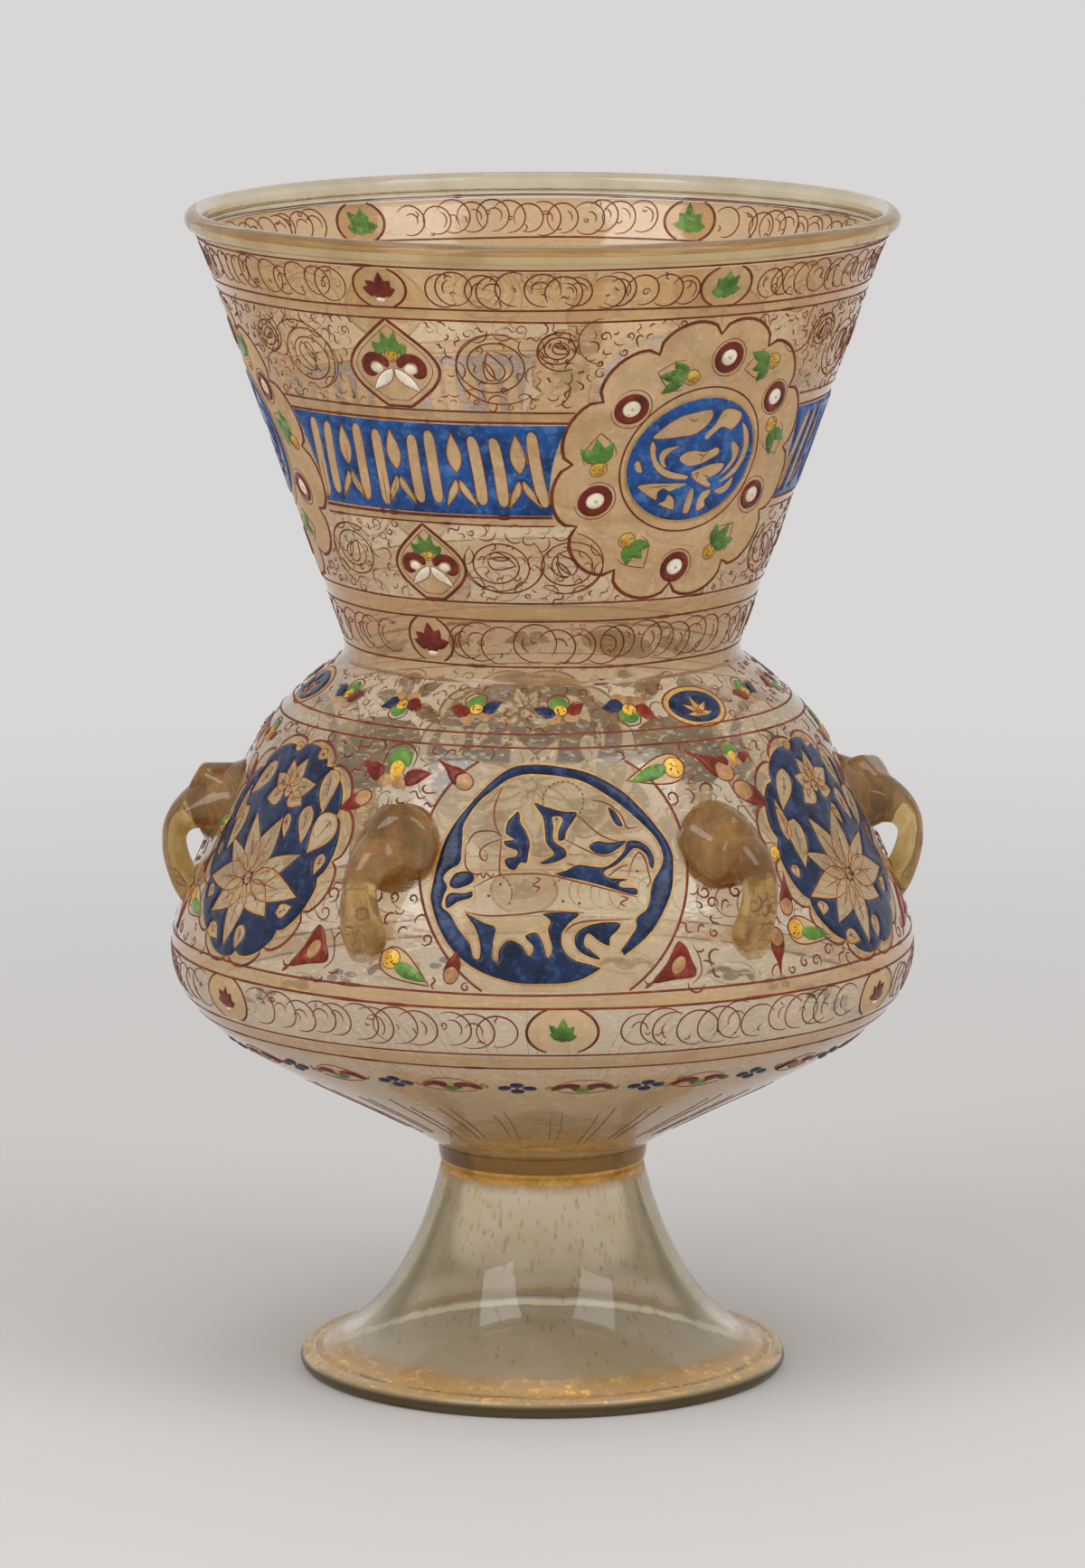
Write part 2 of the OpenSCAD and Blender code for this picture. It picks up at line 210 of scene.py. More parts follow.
class Wall:
    """The outer face of a turned glass piece, by azimuth and by distance up its slope."""

    STEP = 0.5

    def __init__(self, line):
        way = distances(line)
        self.s = np.append(np.arange(0, way[-1], self.STEP), way[-1])
        self.r = np.interp(self.s, way, line[:, 0])
        self.z = np.interp(self.s, way, line[:, 1])
        rise = np.gradient(self.z, self.s)
        spread = np.gradient(self.r, self.s)
        size = np.hypot(rise, spread)
        self.out_r = rise / size
        self.out_z = -spread / size

    def up(self, z):
        """Distance up the slope to a height."""
        return np.interp(z, self.z, self.s)

    def span(self, zone):
        """Distance up the slope between the two heights of a zone."""
        return self.up(zone[1]) - self.up(zone[0])

    def height(self, s):
        """Height at a distance up the slope."""
        return np.interp(s, self.s, self.z)

    def radius(self, s):
        """Radius at a distance up the slope."""
        return np.interp(s, self.s, self.r)

    def radius_at(self, z):
        """Radius at a height."""
        return np.interp(z, self.z, self.r)

    def place(self, az, s, lift):
        """Points in metres at azimuths in radians counted from the front towards +X."""
        r = self.radius(s) + lift * np.interp(s, self.s, self.out_r)
        z = self.height(s) + lift * np.interp(s, self.s, self.out_z)
        return np.stack([r * np.sin(az), -r * np.cos(az), z], axis=-1) * MM


VESSEL = Wall(outer_line())
FOOT = Wall(foot_line()[::-1])


class Spot:
    """A place on the glass where a flat drawing in millimetres is laid.

    An even spot takes all widths at its own height.
    """

    def __init__(self, az, z, turn=0.0, size=1.0, flip=False, even=False, wall=VESSEL):
        self.az = math.radians(az)
        self.wall = wall
        self.z = z
        self.s = wall.up(z)
        self.turn = math.radians(turn)
        self.size = size
        self.flip = flip
        self.even = even

    def lay(self, xy, lift):
        """Points in metres for flat points, at a lift off the glass."""
        x, y = (np.asarray(xy, float) * self.size).T
        if self.flip:
            x = -x
        cos, sin = math.cos(self.turn), math.sin(self.turn)
        x, y = x * cos - y * sin, x * sin + y * cos
        s = self.s + y
        r = self.wall.radius(self.s if self.even else s)
        return self.wall.place(self.az + x / r, s, np.broadcast_to(lift, s.shape))


# Flat shapes in millimetres


def curve(points, steps=6, closed=False):
    """A smooth line through points."""
    p = np.array(points, float)
    if closed:
        p = np.concatenate([p[-1:], p, p[:2]])
    else:
        p = np.concatenate([2 * p[:1] - p[1:2], p, 2 * p[-1:] - p[-2:-1]])
    t = np.linspace(0, 1, steps, endpoint=False)[:, None]
    spans = []
    for a, b, c, d in zip(p, p[1:], p[2:], p[3:]):
        bend = 2 * a - 5 * b + 4 * c - d
        twist = 3 * b - a - 3 * c + d
        spans.append(0.5 * (2 * b + (c - a) * t + bend * t**2 + twist * t**3))
    if not closed:
        spans.append(p[-2:-1])
    return np.concatenate(spans)


def arc(x, y, r, start, end, count=12, tall=1.0):
    """Part of a circle or oval between two angles in degrees."""
    a = np.radians(np.linspace(start, end, count))
    return pairs(x + r * np.cos(a), y + r * tall * np.sin(a))


def ring(x, y, rx, ry=None, count=40):
    """A closed circle or oval."""
    a = np.linspace(0, FULL_TURN, count, endpoint=False)
    return pairs(x + rx * np.cos(a), y + (ry or rx) * np.sin(a))


def spiral(x, y, r, start, turns, inner, count):
    """A line that winds in towards its middle."""
    t = np.linspace(0, 1, count)
    a = math.radians(start) + t * turns * FULL_TURN
    reach = r * (1 - (1 - inner) * t)
    return pairs(x + reach * np.cos(a), y + reach * np.sin(a))


def scalloped(r, lobes, depth, turn, tall):
    """A closed outline of round lobes that meet in cusps."""
    a = np.linspace(0, FULL_TURN, lobes * 10, endpoint=False)
    reach = r * (1 - depth + depth * np.sqrt(np.abs(np.cos(lobes * a / 2))))
    a = a + math.radians(turn)
    return pairs(reach * np.cos(a), tall * reach * np.sin(a))


def moved(line, x=0.0, y=0.0, angle=0.0):
    """A flat shape turned and moved."""
    c, s = polar(1.0, angle)
    px, py = line.T
    return pairs(x + px * c - py * s, y + px * s + py * c)


def leaf(x, y, angle, length, width, bend=0.0, fat=0.8, count=9):
    """A closed leaf with two points, from its stalk along an angle in degrees."""
    t = np.linspace(0, 1, count)
    half = width / 2 * np.sin(math.pi * t**fat)
    mid_x = t * length
    mid_y = bend * length * np.sin(math.pi * t / 2) * t
    xs = np.concatenate([mid_x, mid_x[-2:0:-1]])
    ys = np.concatenate([mid_y + half, (mid_y - half)[-2:0:-1]])
    return moved(pairs(xs, ys), x, y, angle)


def petal(base, tip, width, bend=0.0, fat=0.8, count=11):
    """A closed leaf from its base to its tip."""
    way = np.array(tip, float) - base
    angle = math.degrees(math.atan2(way[1], way[0]))
    return leaf(*base, angle, math.hypot(*way), width, bend, fat, count)


def strap(base, tip, width, bend):
    """A closed blade of even width with blunt ends."""
    t = (1 - np.cos(np.linspace(0, math.pi, 14))) / 2
    base, way = np.array(base, float), np.array(tip, float) - base
    across = np.array([-way[1], way[0]]) / math.hypot(*way)
    half = (width / 2 * np.sqrt(1 - (2 * t - 1) ** 8))[:, None] * across
    middle = base + t[:, None] * way + (bend * np.sin(math.pi * t))[:, None] * across
    return np.concatenate([middle - half, (middle + half)[-2:0:-1]])


def almond(w, h):
    """A closed outline with a point at its top and a short flat foot."""
    half = [(0, 0.5), (0.2, 0.33), (0.41, 0.13), (0.5, -0.06), (0.43, -0.24), (0.26, -0.4), (0.13, -0.5)]
    side = curve(np.array(half) * (w, h), 5)
    return np.concatenate([side, side[:0:-1] * (-1, 1)])


def palmette(h, rng):
    """Closed leaves that fan out unevenly from one heart, the middle one longest."""
    shapes = []
    for turn in (-84, -42, 0, 42, 84):
        long = h * (0.66 - 0.0016 * abs(turn)) * rng.uniform(0.82, 1.04)
        angle = 90 + turn + rng.uniform(-9, 9)
        shapes.append(leaf(0, 0, angle, long, h * 0.3 * rng.uniform(0.9, 1.2)))
    return shapes + [ring(0, 0, h * 0.19, count=14)]


def within(points, outline):
    """Which points lie within a closed outline."""
    x, y = points.T[:, :, None]
    a, b = outline, np.roll(outline, -1, axis=0)
    straddles = (a[:, 1] > y) != (b[:, 1] > y)
    run = np.where(b[:, 1] == a[:, 1], TINY, b[:, 1] - a[:, 1])
    crossing = a[:, 0] + (y - a[:, 1]) * (b[:, 0] - a[:, 0]) / run
    return (np.sum(straddles & (x < crossing), axis=1) % 2).astype(bool)


def within_any(points, outlines, but=None):
    """Which points lie within any of the outlines, one of them left out."""
    found = np.zeros(len(points), bool)
    for k, outline in enumerate(outlines):
        if k != but:
            found |= within(points, outline)
    return found


def edge_distance(points, starts, ends, batch=600):
    """Distance from each point to the nearest of some straight edges."""
    way = ends - starts
    size = np.maximum(np.sum(way**2, axis=1), TINY)
    best = np.empty(len(points))
    for first in range(0, len(points), batch):
        part = points[first : first + batch, None, :] - starts
        t = np.clip(np.sum(part * way, axis=2) / size, 0, 1)[:, :, None]
        best[first : first + batch] = np.min(np.linalg.norm(part - t * way, axis=2), axis=1)
    return best


def true_rim(own, cut):
    """Ends of the edges that bound a patch, without those that its outlines or holes hide."""
    starts, ends = [], []
    for k, line in enumerate(own + cut):
        follow = np.roll(line, -1, axis=0)
        middle = (line + follow) / 2
        if k < len(own):
            seen = ~within_any(middle, own, k) & ~within_any(middle, cut)
        else:
            seen = within_any(middle, own) & ~within_any(middle, cut, k - len(own))
        starts.append(line[seen])
        ends.append(follow[seen])
    return np.concatenate(starts), np.concatenate(ends)


def patch(own, cut, rim, grid):
    """Flat points and triangles of outlines less holes, with a row of points beside each rim."""
    edges = []
    first = 0
    for line in own + cut:
        size = len(line)
        edges += [(first + k, first + (k + 1) % size) for k in range(size)]
        first += size
    bounds = np.concatenate(own)
    low, high = bounds.min(axis=0), bounds.max(axis=0)
    mesh = np.meshgrid(*(np.arange(low[k] + grid / 2, high[k], grid) for k in (0, 1)))
    mesh = np.stack(mesh, axis=-1)
    mesh[1::2, :, 0] += grid / 2
    beside = [sideways_closed(line, d) for line in own + cut for d in (-RIM_ROW, RIM_ROW)]
    extra = np.concatenate(beside + [mesh.reshape(-1, 2)])
    extra = extra[within_any(extra, own) & ~within_any(extra, cut)]
    extra = extra[edge_distance(extra, *rim) > RIM_CLEAR]
    points = [Vector(p) for p in np.concatenate(own + cut + [extra])]
    points, _, faces, *_ = geometry.delaunay_2d_cdt(points, edges, [], 0, SAME_POINT)
    flat = np.array([tuple(p) for p in points])
    faces = np.array(faces)
    centre = flat[faces].mean(axis=1)
    faces = faces[within_any(centre, own) & ~within_any(centre, cut)]
    used, number = np.unique(faces, return_inverse=True)
    return flat[used], number.reshape(faces.shape)


def band_faces(low, high):
    """Faces between two rows of point numbers that run round, one of them perhaps a single point."""
    sides = max(len(low), len(high))
    faces = []
    for k in range(sides):
        n = (k + 1) % sides
        if len(low) == 1:
            faces.append((low[0], high[n], high[k]))
        elif len(high) == 1:
            faces.append((low[k], low[n], high[0]))
        else:
            faces.append((low[k], low[n], high[n], high[k]))
    return faces


def dome(rx, ry, shares, sides):
    """Flat points of rings about one middle, and the faces that join them to a dome."""
    flat = np.concatenate([ring(0, 0, rx * k, ry * k, sides) for k in shares] + [[(0, 0)]])
    last = sides * (len(shares) - 1)
    faces = []
    for first in range(0, last, sides):
        faces += band_faces(range(first, first + sides), range(first + sides, first + 2 * sides))
    return flat, faces + band_faces(range(last, last + sides), [last + sides])


def lathe(section, sides):
    """Points and faces of a closed section turned round the axis, ends on the axis closed by fans."""
    points, rows = [], []
    angles = np.linspace(0, FULL_TURN, sides, endpoint=False)
    for r, z in section:
        at = angles if r > TINY else angles[:1]
        rows.append(range(len(points), len(points) + len(at)))
        points += [(r * MM * math.cos(a), r * MM * math.sin(a), z * MM) for a in at]
    pairs = list(zip(rows, rows[1:]))
    if len(rows[0]) > 1:
        pairs.append((rows[-1], rows[0]))
    faces = []
    for low, high in pairs:
        faces += band_faces(low, high)
    return points, faces


def smooth_object(name, points, faces, material):
    """A smooth object of one material in the scene."""
    mesh = bpy.data.meshes.new(name)
    mesh.from_pydata([tuple(p) for p in points], [], [tuple(f) for f in faces])
    mesh.validate()
    mesh.polygons.foreach_set("use_smooth", [True] * len(mesh.polygons))
    mesh.materials.append(material)
    made = bpy.data.objects.new(name, mesh)
    bpy.context.scene.collection.objects.link(made)
    return made


def make_piece(name, points, faces, material, slot=None, nodes=()):
    """A smooth piece of the lamp that rides on its body and stands for some nodes."""
    piece = smooth_object(name, points, faces, material)
    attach(piece, "root")
    if nodes:
        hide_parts(*nodes)
    return piece


def paint_faces(piece, index, *finishes):
    """Gives a piece further finishes, and each face the number of its own."""
    for name in finishes:
        piece.data.materials.append(finish(name))
    piece.data.polygons.foreach_set("material_index", index.astype(int).tolist())


# Finishes


class Value:
    """A socket's value, so that shader maths reads as an expression."""

    def __init__(self, paint, socket):
        self.paint = paint
        self.socket = socket

    def maths(self, operation, *values):
        """A Math node on this value and others."""
        sockets = dict(enumerate((self,) + values))
        return self.paint.node("ShaderNodeMath", {"operation": operation}, sockets)

    def __add__(self, other):
        return self.maths("ADD", other)

    def __sub__(self, other):
        return self.maths("SUBTRACT", other)

    def __rsub__(self, other):
        return (self * -1).maths("ADD", other)

    def __mul__(self, other):
        return self.maths("MULTIPLY", other)

    def __truediv__(self, other):
        return self.maths("DIVIDE", other)

    def __pow__(self, other):
        return self.maths("POWER", other)

    __radd__ = __add__
    __rmul__ = __mul__

    def step(self, low, high):
        """A smooth rise from 0 at low to 1 at high."""
        sockets = {"Value": self, "From Min": low, "From Max": high}
        return self.paint.node("ShaderNodeMapRange", {"interpolation_type": "SMOOTHSTEP"}, sockets)

    def clamp(self):
        """The value kept between 0 and 1."""
        return self.paint.node("ShaderNodeClamp", {}, {"Value": self})

    def beside(self, out):
        """Another output of the same node."""
        return Value(self.paint, self.socket.node.outputs[out])


class Paint:
    """A finish made of shader nodes."""

    def __init__(self, name):
        self.material = bpy.data.materials.new(name)
        self.material.use_nodes = True
        self.tree = self.material.node_tree
        self.tree.nodes.clear()

    def node(self, kind, settings=None, sockets=None, out=0):
        """A node of a kind: its settings are set first, then its sockets filled or linked.

        A text that fills a socket is a web colour.
        """
        made = self.tree.nodes.new(kind)
        for key, value in (settings or {}).items():
            if key == "stops":
                self.fill_ramp(made.color_ramp, value)
            else:
                setattr(made, key, value)
        for key, value in (sockets or {}).items():
            if isinstance(value, Value):
                self.tree.links.new(value.socket, made.inputs[key])
            else:
                made.inputs[key].default_value = tint(value) if isinstance(value, str) else value
        return Value(self, made.outputs[out]) if made.outputs else made

    @staticmethod
    def fill_ramp(ramp, stops):
        """Sets the stops of a colour ramp as pairs of place and colour."""
        while len(ramp.elements) < len(stops):
            ramp.elements.new(1.0)
        for element, (place, colour) in zip(ramp.elements, stops):
            element.position = place
            element.color = colour

    def place(self):
        """Place on the lamp in metres."""
        return self.node("ShaderNodeTexCoord", out="Object")

    def part(self, vector, axis):
        """One part of a vector."""
        return self.node("ShaderNodeSeparateXYZ", {}, {0: vector}, axis)

    def height(self):
        """Height on the lamp in millimetres."""
        return self.part(self.place(), "Z") * 1000

    def stretched(self, x, y, z):
        """Place on the lamp, stretched."""
        sockets = {0: self.place(), 1: (x, y, z)}
        return self.node("ShaderNodeVectorMath", {"operation": "MULTIPLY"}, sockets)

    def length(self, vector):
        """Length of a vector."""
        return self.node("ShaderNodeVectorMath", {"operation": "LENGTH"}, {0: vector}, "Value")

    def noise(self, scale, detail=3.0, rough=0.55, place=None):
        """Cloudy values about one half."""
        sockets = {"Vector": place or self.place(), "Scale": scale, "Detail": detail, "Roughness": rough}
        return self.node("ShaderNodeTexNoise", {}, sockets)

    def facing(self):
        """How far the glass turns away from the eye."""
        return self.node("ShaderNodeLayerWeight", {}, {"Blend": 0.5}, "Facing")

    def backfacing(self):
        """Whether a face is met from behind or from within."""
        return self.node("ShaderNodeNewGeometry", out="Backfacing")

    def ray(self, kind):
        """Whether light of a kind is followed."""
        return self.node("ShaderNodeLightPath", out=f"Is {kind} Ray")

    def mix(self, mask, first, second):
        """A colour between two, by a mask."""
        return self.node("ShaderNodeMix", {"data_type": "RGBA"}, {0: mask, 6: first, 7: second}, 2)

    def bump(self, height, strength, distance):
        """A normal roughened by a height."""
        sockets = {"Height": height, "Strength": strength, "Distance": distance}
        return self.node("ShaderNodeBump", {}, sockets, "Normal")

    def shader(self, kind, **sockets):
        """A shader of a kind, its sockets named with underscores for spaces."""
        named = {key.replace("_", " "): value for key, value in sockets.items()}
        return self.node(f"ShaderNodeBsdf{kind}", {}, named)

    def body(self, colour, rough, **sockets):
        """The main shader, of a colour and a roughness."""
        return self.shader("Principled", Base_Color=colour, Roughness=rough, **sockets)

    def blend(self, mask, first, second):
        """A shader between two, by a mask."""
        return self.node("ShaderNodeMixShader", {}, {0: mask, 1: first, 2: second})

    def finish(self, surface):
        """Links the surface and gives the material."""
        self.node("ShaderNodeOutputMaterial", {}, {"Surface": surface})
        return self.material


def tint(text):
    """Linear colour of a written web colour."""
    parts = [int(text[k : k + 2], 16) / 255 for k in (0, 2, 4)]
    return tuple(c / 12.92 if c <= 0.04045 else ((c + 0.055) / 1.055) ** 2.4 for c in parts) + (1.0,)


WHITE = (1, 1, 1, 1)


def edge_gloss(paint, least, power):
    """How mirror-like the glass is, more towards its turning edges, alike on both faces."""
    return least + (1 - least) * paint.facing() ** power


# Colour and cover of the gilding film at heights in millimetres, and the height of the whole ramp
FILM_SPAN = 300
FILM_STOPS = [
    (50.0, "A67C3C", 0.32), (91.0, "C69C62", 0.20), (91.2, "C49650", 0.54), (94.8, "C89C5A", 0.54),
    (95.0, "FFF2D6", 0.16), (106.3, "FFF2D6", 0.16), (106.6, "D4AA6A", 0.48), (109.8, "D4AA6A", 0.48),
    (110.2, "E0CBA8", 0.24), (163.4, "D8C092", 0.17), (166.9, "DCB884", 0.20), (176.4, "D2AC74", 0.24),
    (177.0, "C4924A", 0.44), (192.0, "BA8842", 0.44), (192.4, "B68C52", 0.62), (196.5, "B68C52", 0.62),
    (196.9, "F6E4C0", 0.26), (216.0, "F6E4C0", 0.26), (216.3, "BE9864", 0.58), (218.3, "BE9864", 0.58),
    (218.5, "DCB47A", 0.26), (241.3, "DCB47A", 0.26), (241.5, "BA945C", 0.58), (244.2, "BA945C", 0.58),
    (244.6, "DEBA76", 0.26), (266.3, "D6B070", 0.27), (266.5, "B89056", 0.62), (269.0, "B89056", 0.62),
    (269.2, "CC963E", 0.48), (278.8, "C89240", 0.48), (279.2, "C4903C", 0.52),
]


def vessel_finish():
    """Clear thin glass with a worn film of gilding and fine pale flecks."""
    paint = Paint("gilded_clear_glass")
    z = paint.height() / FILM_SPAN
    stops = [(height / FILM_SPAN, tint(colour)[:3] + (cover,)) for height, colour, cover in FILM_STOPS]
    colour = paint.node("ShaderNodeValToRGB", {"stops": stops}, {0: z})
    cover = colour.beside("Alpha")
    cloud = paint.noise(60, 4, 0.6)
    grain = paint.noise(420, 3, 0.6)
    streak = paint.noise(1.0, 3, 0.65, paint.stretched(120, 120, 700))
    wear = paint.noise(150, 5, 0.7).step(0.30, 0.46)
    fleck = paint.noise(1.0, 2, 0.5, paint.stretched(430, 430, 1250)).step(0.56, 0.63)
    worn = cover * (0.62 + 0.38 * wear) * (0.60 + 0.80 * streak) + fleck * (0.30 - 0.6 * cover).clamp()
    thin = (1.1 - 1.4 * cover).clamp()
    colour = paint.mix(cloud.step(0.42, 0.66) * 0.34, colour, "96703E")
    colour = paint.mix(grain.step(0.50, 0.72) * thin * 0.5, colour, "F4E6CC")
    colour = paint.mix(streak.step(0.56, 0.70) * thin * 0.55, colour, "FAEED8")
    colour = paint.mix(fleck * (0.9 - 2 * cover).clamp(), colour, "F8EACC")
    bump = paint.bump(grain + 2 * cloud, 0.2, 0.0003)
    gilding = paint.body(colour, 0.34, Normal=bump)
    film = paint.blend(0.32, gilding, paint.shader("Translucent", Color="DEB870"))
    turning = paint.facing().step(0.30, 0.95)
    neck = z.step(0.60, 0.68)
    stain = (0.02 + cover + 0.08 * neck + (0.4 + 0.8 * neck) * turning).clamp()
    plain = paint.shader("Transparent", Color=WHITE)
    see = paint.blend(stain, plain, paint.shader("Transparent", Color="CCA468"))
    clear = paint.blend((worn + 0.1 * turning).clamp(), see, film)
    wave = paint.bump(paint.noise(1.0, 3, 0.6, paint.stretched(60, 60, 150)), 0.35, 0.001)
    shine = paint.shader("Glossy", Color=WHITE, Roughness=0.08, Normal=wave)
    return paint.finish(paint.blend(edge_gloss(paint, 0.055, 4.0), clear, shine))


def inner_glass_finish():
    """Clear thin glass of the inside of the vessel."""
    paint = Paint("inner_clear_glass")
    wave = paint.bump(paint.noise(45, 2, 0.5), 0.2, 0.001)
    see = paint.shader("Transparent", Color="FCFAF3")
    shine = paint.shader("Glossy", Color=WHITE, Roughness=0.05, Normal=wave)
    return paint.finish(paint.blend(edge_gloss(paint, 0.012, 5.0), see, shine))


def shadowed(paint, glass, colour):
    """Thick glass that lets coloured light through where it throws a shadow."""
    lit = paint.shader("Transparent", Color=colour)
    return paint.finish(paint.blend(paint.ray("Shadow"), glass, lit))


def solid_glass_finish(name, colour, shade, rough, murk, veins=0.0, inner=None):
    """Thick glass that bends light, a little murky and veined, and may be paler from within."""
    paint = Paint(name)
    cloud = paint.noise(70, 4, 0.6)
    wave = paint.bump(paint.noise(90, 3, 0.5), 0.18, 0.001)
    tone = paint.mix(cloud.step(0.40, 0.66), colour, shade)
    if veins:
        streak = paint.noise(1.0, 4, 0.65, paint.stretched(210, 210, 70))
        seeds = paint.noise(900, 2, 0.5).step(0.66, 0.72)
        tone = paint.mix(streak.step(0.50, 0.60) * veins, tone, "7E5E2A")
        tone = paint.mix((1 - streak.step(0.36, 0.46)) * veins, tone, "F0DCAE")
        tone = paint.mix(seeds * veins, tone, "3C2810")
    if inner:
        tone = paint.mix(paint.backfacing(), tone, inner)
    clear = paint.body(tone, rough, IOR=1.48, Transmission_Weight=1.0, Normal=wave)
    murky = paint.body(tone, 0.16, Normal=wave)
    glass = paint.blend((murk * (0.4 + 1.2 * cloud)).clamp(), clear, murky)
    return shadowed(paint, glass, colour)


def foot_finish():
    """Clear brown-grey glass with worn gilding on its outer face, browner at its turning sides partly as
    a painted reflection, and a painted shade of dark on its rolled rim.
    """
    paint = Paint("clear_foot_glass")
    z = paint.height()
    wave = paint.bump(paint.noise(1.0, 3, 0.55, paint.stretched(70, 70, 25)), 0.08, 0.001)
    tone = paint.mix(paint.noise(60, 4, 0.6).step(0.4, 0.65), "F5EDDC", "EDE3CC")
    # Towards its turning sides, above the flare, the glass is painted browner: partly the longer path
    # through tinted glass, partly a painted dark reflection.
    turning = paint.facing().step(0.40, 0.54)
    tone = paint.mix(turning * z.step(9.0, 18.0), tone, "8C7C54")
    clear = paint.body(
        tone, 0.02, IOR=1.45, Transmission_Weight=1.0, Specular_IOR_Level=0.25, Normal=wave
    )
    normal = paint.node("ShaderNodeNewGeometry", out="Normal")
    outer = paint.part(normal, "Z").step(0.02, 0.2)
    patches = paint.noise(1.0, 5, 0.7, paint.stretched(90, 90, 160)).step(0.40, 0.64)
    zone = z.step(3.0, 4.0) * (1 - z.step(5.0, 7.6)) * outer * (0.46 + 0.44 * patches)
    joint = z.step(46.6, 50.2) * (0.4 + 0.6 * patches)
    leafing = paint.mix(paint.noise(420, 3, 0.6).step(0.56, 0.66), "B6905A", "EABC62")
    gold = paint.body(leafing, 0.36, Metallic=0.3)
    gilded = paint.blend((zone + joint).clamp(), clear, gold)
    away = paint.length(paint.stretched(1000, 1000, 0))
    # The foot of the rolled rim gets a painted dark edge, a painted shade for the dark that its thick
    # glass shows, weaker where the rim is seen from within.
    dark = paint.body("3A2E14", 0.2, Specular_IOR_Level=0.1)
    edge = (1 - z.step(2.4, 4.0)) * away.step(57.0, 58.0) * (0.92 - 0.7 * paint.backfacing())
    return shadowed(paint, paint.blend(edge, gilded, dark), "F8F4EA")


def enamel_finish(name, colour, shade, light, gloss=0.16, back=None):
    """Fired enamel, pooled and mottled, with pits, and perhaps painted brighter from behind as painted
    light for what reaches it through the glass.
    """
    paint = Paint(name)
    cloud = paint.noise(140, 4, 0.6)
    fine = paint.noise(700, 3, 0.6)
    pits = paint.noise(1500, 1, 0.5).step(0.66, 0.74)
    tone = paint.mix(cloud.step(0.40, 0.66), colour, shade)
    tone = paint.mix(paint.noise(260, 3, 0.6).step(0.50, 0.70) * 0.45, tone, light)
    tone = paint.mix(fine.step(0.54, 0.74) * 0.4, tone, light)
    tone = paint.mix(pits * 0.5, tone, "2A2420")
    # Seen from behind, through the glass, the enamel takes a much brighter colour: painted light standing
    # in for the light that reaches its back.
    if back:
        tone = paint.mix(paint.backfacing(), tone, back)
    bump = paint.bump(fine + cloud - pits, 0.3, 0.0003)
    rough = gloss + 0.25 * pits + 0.12 * cloud
    return paint.finish(paint.body(tone, rough, Normal=bump, Specular_IOR_Level=0.28))


def film_finish(name, colour, shade, light, cover, stain=0.3):
    """A worn gilding film that lets some light through."""
    paint = Paint(name)
    colour, light = tint(colour), tint(light)
    cloud = paint.noise(80, 4, 0.65)
    fine = paint.noise(620, 3, 0.6)
    wear = paint.noise(170, 5, 0.7).step(0.26, 0.44)
    tone = paint.mix(cloud.step(0.38, 0.66), colour, shade)
    tone = paint.mix(fine.step(0.52, 0.72) * 0.55, tone, light)
    bump = paint.bump(fine + cloud, 0.25, 0.0003)
    gilding = paint.body(tone, 0.26, Normal=bump)
    film = paint.blend(0.22, gilding, paint.shader("Translucent", Color=light))
    see = paint.shader("Transparent", Color=tuple(1 - stain * (1 - c) for c in colour))
    return paint.finish(paint.blend(cover * (0.6 + 0.4 * wear), see, film))


def bubble_finish():
    """A painted dark ring where an air bubble in glass turns from the eye, a painted shade for the dark
    its refraction shows, round a clear heart.
    """
    paint = Paint("air_bubbles")
    shade = paint.mix(paint.noise(300, 2, 0.5).step(0.4, 0.6), "1C160C", "362A18")
    # The ring is painted shade: opaque dark where the bubble turns away from the eye.
    rim = paint.body(shade, 0.2)
    see = paint.shader("Transparent", Color="F4EEDC")
    return paint.finish(paint.blend(paint.facing().step(0.48, 0.70), see, rim))


# The maker of each finish and its values
FINISH_MAKERS = {
    "vessel": (vessel_finish,),
    "inner": (inner_glass_finish,),
    "bead": (solid_glass_finish, "lip_glass", "E2D4B4", "CEBC96", 0.03, 0.03),
    "lip": (solid_glass_finish, "gilded_lip_glass", "D2AE72", "B89258", 0.05, 0.10, 0.0, "F0E8DA"),
    "amber": (solid_glass_finish, "amber_glass", "DEBE7E", "AE8A44", 0.04, 0.11, 0.34),
    "collar": (solid_glass_finish, "gilt_amber_glass", "8C621A", "604210", 0.10, 0.92),
    "foot": (foot_finish,),
    "line": (enamel_finish, "iron_red_line", "6E2A10", "50200C", "904422", 0.5),
    "red": (enamel_finish, "red_enamel", "6A1E0C", "4E1408", "8E3E26"),
    "green": (enamel_finish, "green_enamel", "527A2E", "385820", "8EA85C"),
    # The last colour of each blue enamel is its back, painted light far brighter than its front.
    "blue": (enamel_finish, "blue_enamel", "164888", "0C2C5C", "5484BC", 0.16, "5C90FF"),
    "navy": (enamel_finish, "dark_blue_enamel", "15223F", "0D1428", "384A72", 0.16, "5A86FF"),
    "yellow": (enamel_finish, "yellow_enamel", "CC9A2A", "A87820", "EACA6C"),
    "tan": (enamel_finish, "buff_enamel", "9E774C", "86603A", "B8946A"),
    "white": (enamel_finish, "white_enamel", "E6DAC6", "D2C2A8", "F4ECE0"),
    "black": (enamel_finish, "dark_dots", "2E2018", "1E1510", "4A3628", 0.35),
    "joint": (enamel_finish, "gilt_joint", "C89A4C", "A87834", "EAC478", 0.3),
    "gilt": (film_finish, "gilding", "D6B68A", "C2A06E", "ECD6B0", 0.62),
    "veil": (film_finish, "thin_gilding", "E2C490", "CEAA70", "F2DCB0", 0.22, 0.06),
    "pale": (film_finish, "pale_gilding", "CCB896", "B89C72", "E4D4B6", 0.34),
    "gold": (film_finish, "bright_gilding", "C49850", "A4783A", "E8C27A", 0.95),
    "bubbles": (bubble_finish,),
}
